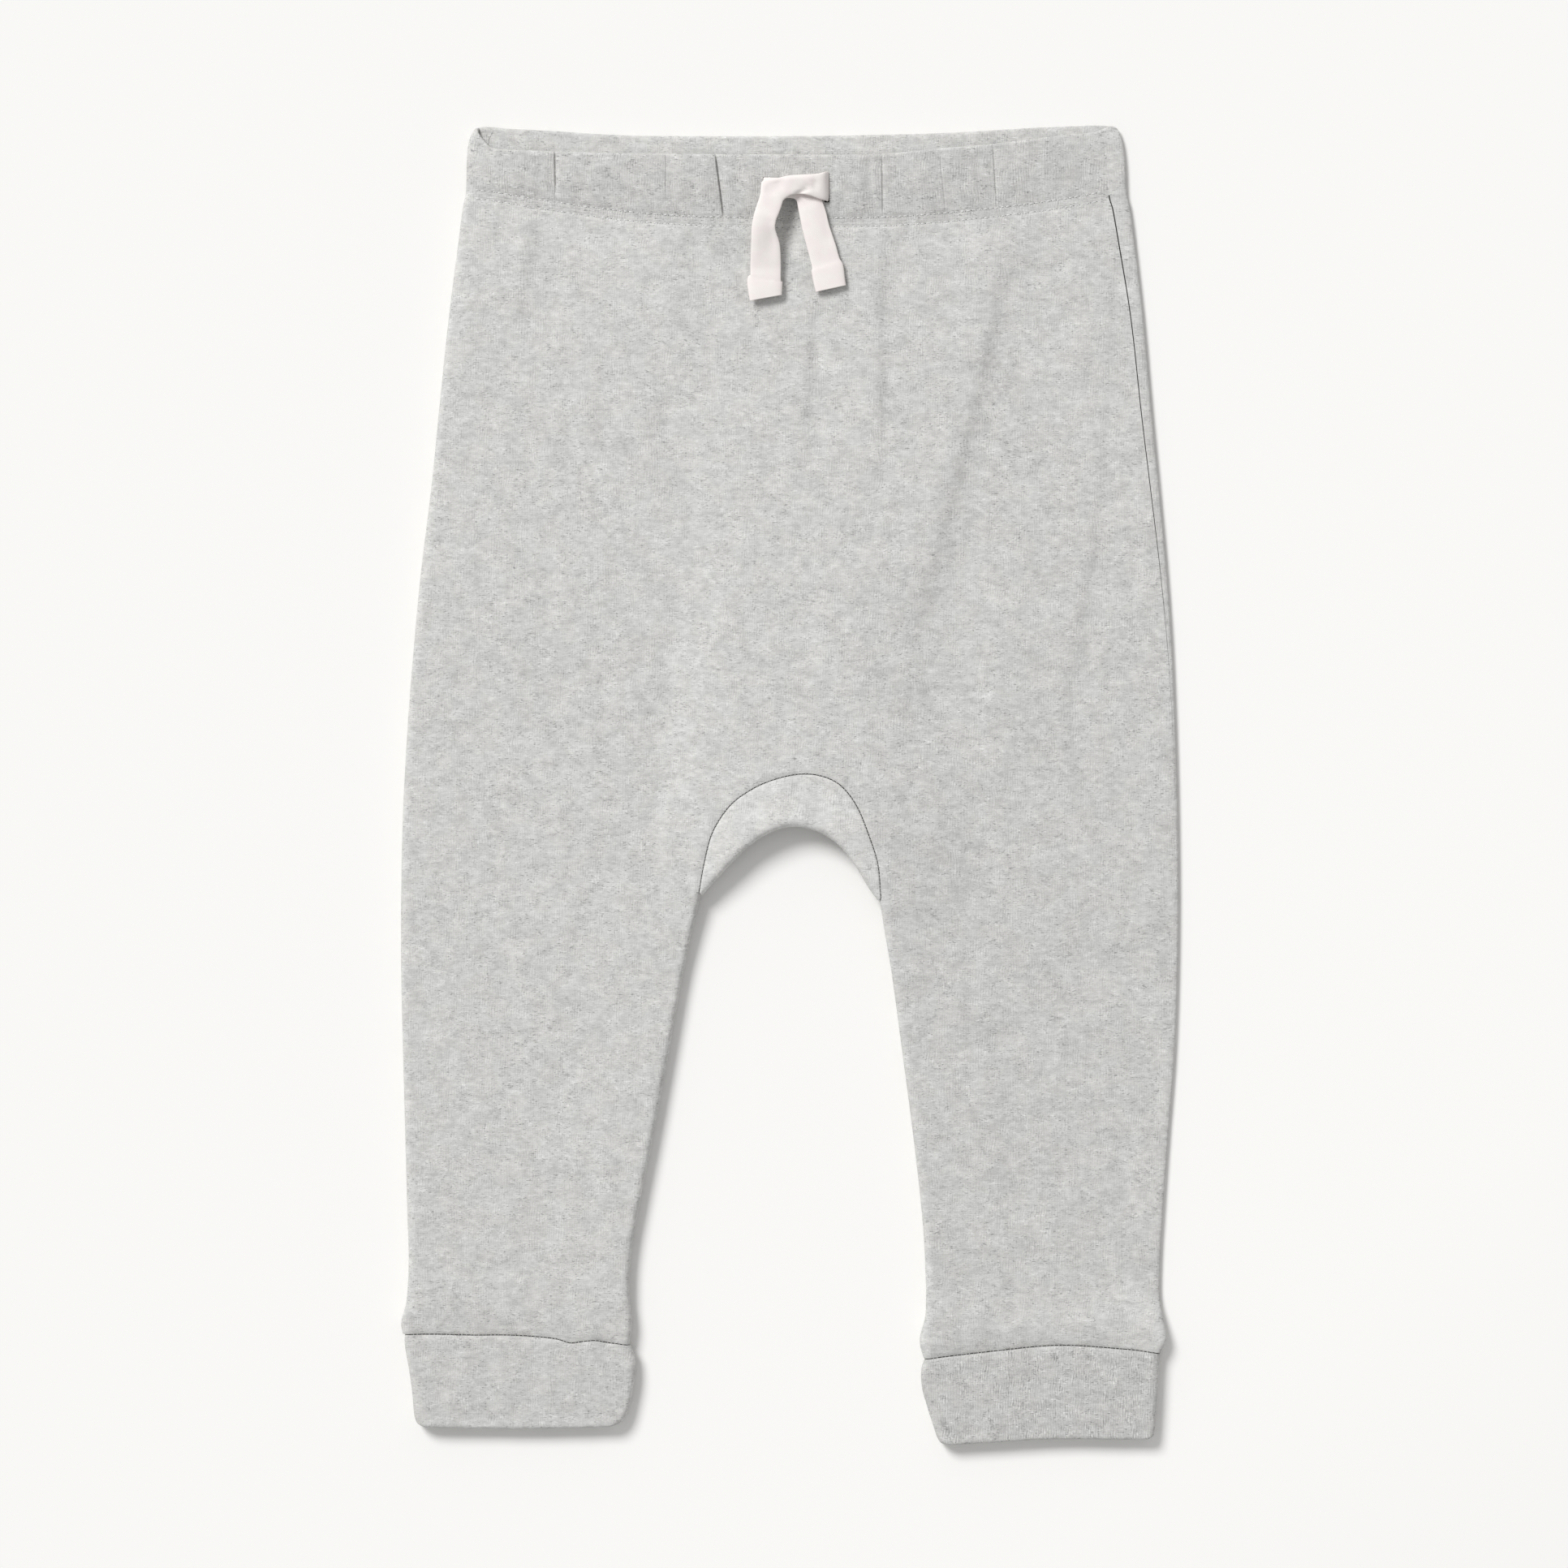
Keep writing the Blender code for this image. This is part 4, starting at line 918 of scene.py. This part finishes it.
def addGusset():
    step = np.linspace(0, lastStep, 96)
    seam, fold = offSeam(step, -1), onLine(gussetFold, step)
    flat = np.linalg.norm(fold - seam, axis=1)
    way = (fold - seam) / flat[:, None]
    cloth = roll * np.arccos(np.maximum(1 - flat / roll, 0)) + np.maximum(flat - roll, 0)
    half = 1 - steps(15, (0.2, 0.3, 0.5), lie["step"])  # from the front's seam to the fold
    shares = np.r_[half, -half[::-1][1:]]
    inset, height, outwards, upwards = rolled(cloth[:, None] * shares)
    x = fold[:, None, 0] - way[:, None, 0] * inset
    down = fold[:, None, 1] - way[:, None, 1] * inset
    facing = np.stack([way[:, None, 0] * outwards, -way[:, None, 1] * outwards, upwards], -1)
    toSeam = flat[:, None] - inset
    # the narrow right tip is gathered into small creases, and the seam draws the edge down
    tip = soft(step, 9.6, 11.2)[:, None]
    ripple = 0.16 * tip * np.sin(step[:, None] * 24.0) * soft(toSeam, 0.3, 1.5)
    rise = ripple + fades("insideGusset", toSeam) + lumpy("gusset", x, down) * soft(toSeam, 0, 4)
    height = height + rise * np.clip(upwards, 0, 1) + crotchLift(x, down)
    spot = place(x, down, height)
    piece = shell("gusset_cloth", [(spot, spot - facing * lie["jersey"])], gussetJersey)
    dress(piece, "gusset")
    return piece


print("gusset")
gusset = addGusset()


def beside(x, pleat):  # from a pleat's top
    return x - (pleat[0] - origin["x"])


def casingPleats(x, along):
    drawn = 0
    for pleat in casing["pleats"]:
        lean, start, end, deep, crease = pleat[1:]
        off = beside(x, pleat) - lean * along
        fade = soft(along, start - 0.1, start + 0.12) * soft(-along, -end - 0.1, -end + 0.12)
        broad = np.exp(-(off / np.where(off < 0, *casing["sinking"])) ** 2)
        drawn = drawn + fade * (deep * 0.55 * broad + crease * np.exp(-(off / casing["creased"]) ** 2))
    return drawn


def pleatedColumns(left, right, along):  # closer together at the pleats, and leaning with them
    x = np.linspace(left, right, 4000)
    weight = 1 + sum(5 * np.exp(-(beside(x, pleat) / 0.8) ** 2) for pleat in casing["pleats"])
    share = np.cumsum(weight) / weight.sum()
    top = np.interp(np.linspace(0, 1, casing["columns"]), share, x)[1:-1]
    return top + along * sum(pleat[1] * np.exp(-(beside(top, pleat) / 5) ** 2) for pleat in casing["pleats"])


def frontCasingRise(x, along, down):
    gathers = lumpy("casing", x, along * 3) + 0.07 * flutes(x, 1.15, 1.7, 0.23)
    gathers = gathers * np.sin(math.pi * np.clip(along, 0.05, 1))
    swell = 0.45 * np.sin(math.pi * np.clip(along, 0, 1)) ** 0.7
    inwards = soft(casing["half"] - np.abs(x), 2 * roll, 2 * roll + lie["sagReach"])
    sunk = lie["sag"] * soft(along, 0.25, 1.0) * inwards
    dent = folded(*fromMiddle(x, down), knotDent)
    return gathers + swell - sunk + dent - casingPleats(x, along) + seamDents(x, down)


def addCasing(name, up, reachLeft, reachRight):
    thick, face = lie["casing"], 2 * roll if up else 0.0
    turn = thick / 2 - casing["topSlack"]  # radius of the top fold
    even = np.linspace(casing["even"], 1, casing["rows"])
    alongs = np.r_[np.array(casing["atTop"]) / casing["tall"], even]

    def side(along, reach, which):
        way = cuffs[which]["way"]
        x, share = np.full(len(sideShares), way * casing["half"]), np.full(len(sideShares), 0.5)
        for _ in range(4):  # where it is and how wide the pants are there settle together
            down = mix(casingTop(x, share), casingSeam(x, share), along)
            cloth = roundSide(reach, seamIn(down))
            inset, height, outwards, upwards = rolled(cloth if up else -cloth)
            x = sideEdge[which](down) - way * inset
            share = height / (2 * roll)
        return x, share, height, np.stack([way * outwards, 0 * x, upwards], -1)

    outer, inner = [], []
    for along in alongs:
        left, right = side(along, reachLeft, "left"), side(along, reachRight, "right")
        middle = pleatedColumns(left[0][-1], right[0][-1], along)
        x = np.r_[left[0], middle, right[0][::-1]]
        share = np.r_[left[1], np.full(len(middle), float(up)), right[1][::-1]]
        height = np.r_[left[2], np.full(len(middle), face), right[2][::-1]]
        straight = np.tile([0, 0, 1.0 if up else -1.0], (len(middle), 1))
        facing = np.concatenate([left[3], straight, right[3][::-1]])
        length = casingSeam(x, share) - casingTop(x, share)
        down = casingTop(x, share) + along * length
        pinch = pinched(along * length, turn)
        flat = np.where(np.abs(height - face) < 0.01, soft(np.minimum(x - x.min(), x.max() - x), 2, 8), 0)
        if up:
            rise = frontCasingRise(x, along, down)
        else:
            rise = backSeamRise(x, down) + np.maximum(lumpy("backCasing", x, along * 3), 0)
        press = pressed(x, down)
        spot = place(x, down, (height + rise * flat) * press)
        outer.append(spot - facing * (pinch * press)[:, None])
        inner.append(spot - facing * ((thick - pinch) * press)[:, None])
    return shell(name, [(np.stack(outer), np.stack(inner))], casingJersey if up else insideJersey)


def cutSlots(piece, holes):
    for x, down, tall in zip(holes["x"], holes["slitDown"], holes["slit"]):
        mesh = bmesh.new()
        bmesh.ops.create_cube(mesh, size=1)
        bmesh.ops.scale(mesh, vec=Vector((holes["wide"], tall, 8)) * mm, verts=mesh.verts)
        bmesh.ops.translate(mesh, vec=Vector(place(x, down, 2 * roll + 1) * mm), verts=mesh.verts)
        cutter = finish(mesh, "slot_cutter", casingJersey)
        cut = piece.modifiers.new("slot", "BOOLEAN")
        cut.operation, cut.object, cut.solver = "DIFFERENCE", cutter, "EXACT"
        bpy.context.view_layer.update()
        done = bpy.data.meshes.new_from_object(piece.evaluated_get(bpy.context.evaluated_depsgraph_get()))
        piece.modifiers.clear()
        piece.data = done
        bpy.data.objects.remove(cutter)


print("casing")
buttonholes = {
    "x": (-10.2, 9.45), "slitDown": (21.4, 20.6), "slit": (8.4, 9.2), "wide": 1.6,  # the open slits
    "down": 20.4, "tall": 11.6,  # with their stitches
}
waistFront = addCasing("waistband_front_cloth", True, 1.03, -1)
cutSlots(waistFront, buttonholes)
waistBack = addCasing("waistband_back_cloth", False, -1, 1.0)
dress(waistFront, "waistband_front")
dress(waistBack, "waistband_back")


def addCuff(which):
    shape = cuffs[which]
    leftEdge, rightEdge = curve(shape["sides"], 0, 1), curve(shape["sides"], 0, 2)
    hem = curve(shape["hem"], 0, 1)
    thick = lie["cuff"]
    turn = thick / 2 - cuffGrid["hemSlack"]  # radius of the hem's fold
    tall = cuffGrid["tall"]
    alongs = 1 - steps(tall, cuffGrid["atHem"], cuffGrid["rowStep"])[::-1]
    alongs = np.r_[np.array(cuffGrid["atSeam"]) / tall, alongs[alongs > cuffGrid["fromSeam"] / tall]]
    bend = np.linspace(-quarter, quarter, cuffGrid["bendColumns"])
    across = np.linspace(0, 1, cuffGrid["columns"] + 2)[1:-1]
    outer, inner = [], []
    for along in alongs:
        left, right = float(leftEdge(along)), float(rightEdge(along))
        xs, heights, facings = [], [], []
        for edge, way, cloth in ((left, -1, bend), (right, 1, bend[::-1])):
            inset, high, outwards, upwards = rolled(cloth)
            xs.append(edge - way * inset)
            heights.append(high)
            facings.append(np.stack([way * outwards, 0 * outwards, upwards], -1))
            start, end = (left + roll, right - roll) if way < 0 else (right - roll, left + roll)
            xs.append(mix(start, end, across))
            heights.append(np.full(len(across), roll - way * roll))
            facings.append(np.tile([0, 0, -way], (len(across), 1)).astype(float))
        x, high, facing = [np.concatenate([*lists, lists[0][:1]]) for lists in (xs, heights, facings)]
        down = mix(cuffSeam[which](x) + lie["seam"] / 2, hem(x), along)
        fromSeam = along * tall
        pinch = pinched(tall - fromSeam, turn)
        uneven = 0.13 * wander(x, down, 15, shape["seed"]) + lumpy("cuffFine", x, down * 0.4)
        dent = fades("belowCuff", fromSeam) + swells("cuffFold", fromSeam - 24)
        rise = np.where(facing[:, 2] > 0.5, uneven + dent, np.where(facing[:, 2] < -0.5, np.abs(uneven), 0))
        spot = place(x, down, high + rise * soft(np.minimum(x - left, right - x), 0, 6))
        outer.append(spot - facing * pinch)
        inner.append(spot - facing * (thick - pinch))
    piece = shell(f"cuff_{which}_cloth", [(np.stack(outer), np.stack(inner))], cuffJerseys[which])
    dress(piece, "cuff_" + which)
    return piece


print("cuffs")
cuffPieces = {which: addCuff(which) for which in cuffs}


stitching = {  # pitch, then half the length, width and height of a stitch
    "twin": (1.85, (0.52, 0.23, 0.19)), "needleHoleShade": (1.85, (0.2, 0.15, 0.06)),
    "gusset": (1.15, (0.2, 0.32, 0.12)), "cuff": (1.3, (0.2, 0.32, 0.12)),
    "buttonhole": (0.5, (0.22, 0.40, 0.09)), "buttonholeEnd": (0.45, (0.2, 0.4, 0.09)),
}


def sew(mesh, name, material):  # stitches go with the pants
    stitches = finish(mesh, name, material)
    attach(stitches, "root")
    return stitches


def stitchRow(mesh, points, normal, pitch, size, phase=0.5):
    # stitches along a line of points in mm: each is a small rounded thread, size along, across and up
    points = np.asarray(points, float)
    chord = np.r_[0, np.cumsum(np.linalg.norm(np.diff(points, axis=0), axis=1))]
    for number, at in enumerate(np.arange(pitch * phase, chord[-1], pitch)):
        at = at + 0.12 * pitch * math.sin(number * 4.1)
        spot, ahead = [
            np.array([np.interp(at + step, chord, points[:, k]) for k in range(3)]) for step in (0, 0.3)
        ]
        ahead = Vector(ahead - spot if np.linalg.norm(ahead - spot) > 1e-6 else (1, 0, 0)).normalized()
        across = Vector(normal).cross(ahead).normalized()
        ahead = (ahead + across * 0.12 * math.sin(number * 2.3)).normalized()
        across = Vector(normal).cross(ahead).normalized()
        made = bmesh.ops.create_uvsphere(mesh, u_segments=6, v_segments=4, radius=1)["verts"]
        turn = Matrix((ahead, across, ahead.cross(across))).transposed().to_4x4()
        uneven = [1 + 0.28 * math.sin(number * 1.7 + k) for k in range(3)]
        grow = Matrix.Diagonal((*[s * more * mm for s, more in zip(size, uneven)], 1))
        bmesh.ops.transform(mesh, matrix=Matrix.Translation(Vector(spot * mm)) @ turn @ grow, verts=made)


def surfaceHeight(piece, x, down, up=True):
    # height in mm of a piece's face at plan points
    start = 0.05 if up else -0.05
    way = Vector((0, 0, -1 if up else 1))
    found = []
    for spot in place(x, down, 0.0):
        hit = piece.ray_cast(Vector((spot[0] * mm, spot[1] * mm, start)), way)
        found.append(hit[1].z / mm if hit[0] else np.nan)
    found = np.array(found)
    good = ~np.isnan(found)
    return np.interp(np.arange(len(found)), np.arange(len(found))[good], found[good])


def addTwinRows(name, seam, up, panelPiece, casingPiece, low, high):
    # two needles: rounded stitches, each with a dark fleck beside it, which is painted shade of its needle
    # hole
    threads, holes = bmesh.new(), bmesh.new()
    x = np.arange(low, high, 0.6)
    normal = (0, 0, 1 if up else -1)
    for piece, off in ((casingPiece, -seams["stitched"]), (panelPiece, seams["stitched"])):
        down = seam(x) + off
        z = surfaceHeight(piece, x, down, up)
        z = z + 0.03 if up else np.maximum(z - 0.03, 0.16)
        line = place(x, down, z)
        stitchRow(threads, line, normal, *stitching["twin"])
        stitchRow(holes, line, normal, *stitching["needleHoleShade"], phase=1.0)
    return [sew(threads, name, greyThread), sew(holes, name + "_hole_shade", holeShade)]


print("stitches")
bpy.context.view_layer.update()
frontStitches = addTwinRows("waist_front_stitches", frontSeam, True, frontPanel, waistFront, -103.5, 97.0)
backStitches = addTwinRows("waist_back_stitches", backSeam, False, backPanel, waistBack, -97.0, 102.0)


def addLadder(name, line, aside, pieces, kind):
    # the seam's threads show as small rungs across it, as low as the lower piece this far to a side
    mesh = bmesh.new()
    heights = [surfaceHeight(piece, *(line + side * aside).T) for side, piece in zip((1, -1), pieces)]
    z = np.minimum(*heights) - 0.16
    stitchRow(mesh, place(*line.T, z), (0, 0, 1), *stitching[kind])
    # the rungs' dark grey is partly the thread's colour and partly painted shade of the seam's ditch
    return sew(mesh, name, seamThreadPaintedShade)


def addButtonholeStitches(piece):
    # close stitches all round each hole
    mesh = bmesh.new()
    hole = buttonholes
    reach = hole["tall"] / 2
    for x in hole["x"]:
        down = np.arange(-reach, reach, 0.3) + hole["down"]
        for side in (-1, 1):
            edge = np.full(len(down), x + side * (hole["wide"] / 2 + 0.42))
            line = place(edge, down, surfaceHeight(piece, edge, down) + 0.02)
            stitchRow(mesh, line, (0, 0, 1), *stitching["buttonhole"])
        for end in (-1, 1):
            across = x + np.linspace(-1, 1, 9) * (hole["wide"] / 2 + 0.5)
            level = np.full(len(across), hole["down"] + end * (reach + 0.1))
            line = place(across, level, surfaceHeight(piece, across, level) + 0.02)
            stitchRow(mesh, line, (0, 0, 1), *stitching["buttonholeEnd"])
    return sew(mesh, "buttonhole_stitches", buttonholeThread)


fineSteps = np.linspace(0.1, 11.9, 160)
gussetLine = onLine(gussetSeam, fineSteps)
offGusset = (offSeam(fineSteps, 1) - gussetLine) * 4
gussetLadder = addLadder("gusset_seam_threads", gussetLine, offGusset, (frontPanel, gusset), "gusset")
for which, ends in (("left", (-123.5, -55.5)), ("right", (43.0, 113.5))):
    x = np.linspace(*ends, 140)
    line = np.stack([x, cuffSeam[which](x)], -1)
    sides = (frontPanel, cuffPieces[which])
    addLadder(f"cuff_{which}_seam_threads", line, np.array((0, -0.6)), sides, "cuff")
buttonholeStitches = addButtonholeStitches(waistFront)


light = {
    "from": (-0.64, 0.76, 1.0), "away": 4.5, "width": 1.8, "share": 0.57, "sky": 0.465,
    "paper": (0.939, 0.931, 0.914), "nearer": 0.25,  # how much more light a metre nearer to the lamp
    "under": 0.0001,  # the floor lies this far below the cloth
}


def addLight():
    # a wide lamp at the upper left, at which a flat face at the middle is lit by "share"
    toward = Vector(light["from"]).normalized()
    lamp = bpy.data.lights.new("window", "AREA")
    lamp.shape, lamp.size = "DISK", light["width"]
    lamp.energy = light["share"] * (math.pi * light["away"]) ** 2 / toward.z
    window = bpy.data.objects.new("window", lamp)
    window.rotation_mode = "QUATERNION"
    window.rotation_quaternion = toward.to_track_quat("Z", "Y")
    window.location = toward * light["away"]
    bpy.context.scene.collection.objects.link(window)
    world = bpy.data.worlds.new("sky")
    bpy.context.scene.world = world
    world.use_nodes = True
    background = world.node_tree.nodes["Background"]
    background.inputs["Color"].default_value = (1, 1, 1, 1)
    background.inputs["Strength"].default_value = light["sky"]


def addFloor():
    # the paper is toned so that it looks even although it is lit more near the lamp
    mesh = bmesh.new()
    bmesh.ops.create_grid(mesh, x_segments=1, y_segments=1, size=3)
    bmesh.ops.translate(mesh, verts=mesh.verts, vec=(0, 0, -light["under"]))
    material, shader, coords = newMaterial("paper", 0.95)
    shader.inputs["Specular IOR Level"].default_value = 0.0
    toward = Vector(light["from"]).normalized()
    grow = light["nearer"] / math.hypot(*toward.xy)
    lit = (coords.axis(0) * toward.x + coords.axis(1) * toward.y) * grow
    even = coords.add("Clamp", {}, {"Value": 1.0 - lit, "Min": 0.6, "Max": 1.06})
    paper = coords.add("RGB", {}, {})
    paper.socket.default_value = (*light["paper"], 1)
    paper.tinted(even).paint(shader)
    floor = finish(mesh, "floor", material)


print("light and floor")
addLight()
addFloor()
bpy.context.scene.view_settings.view_transform = "Standard"
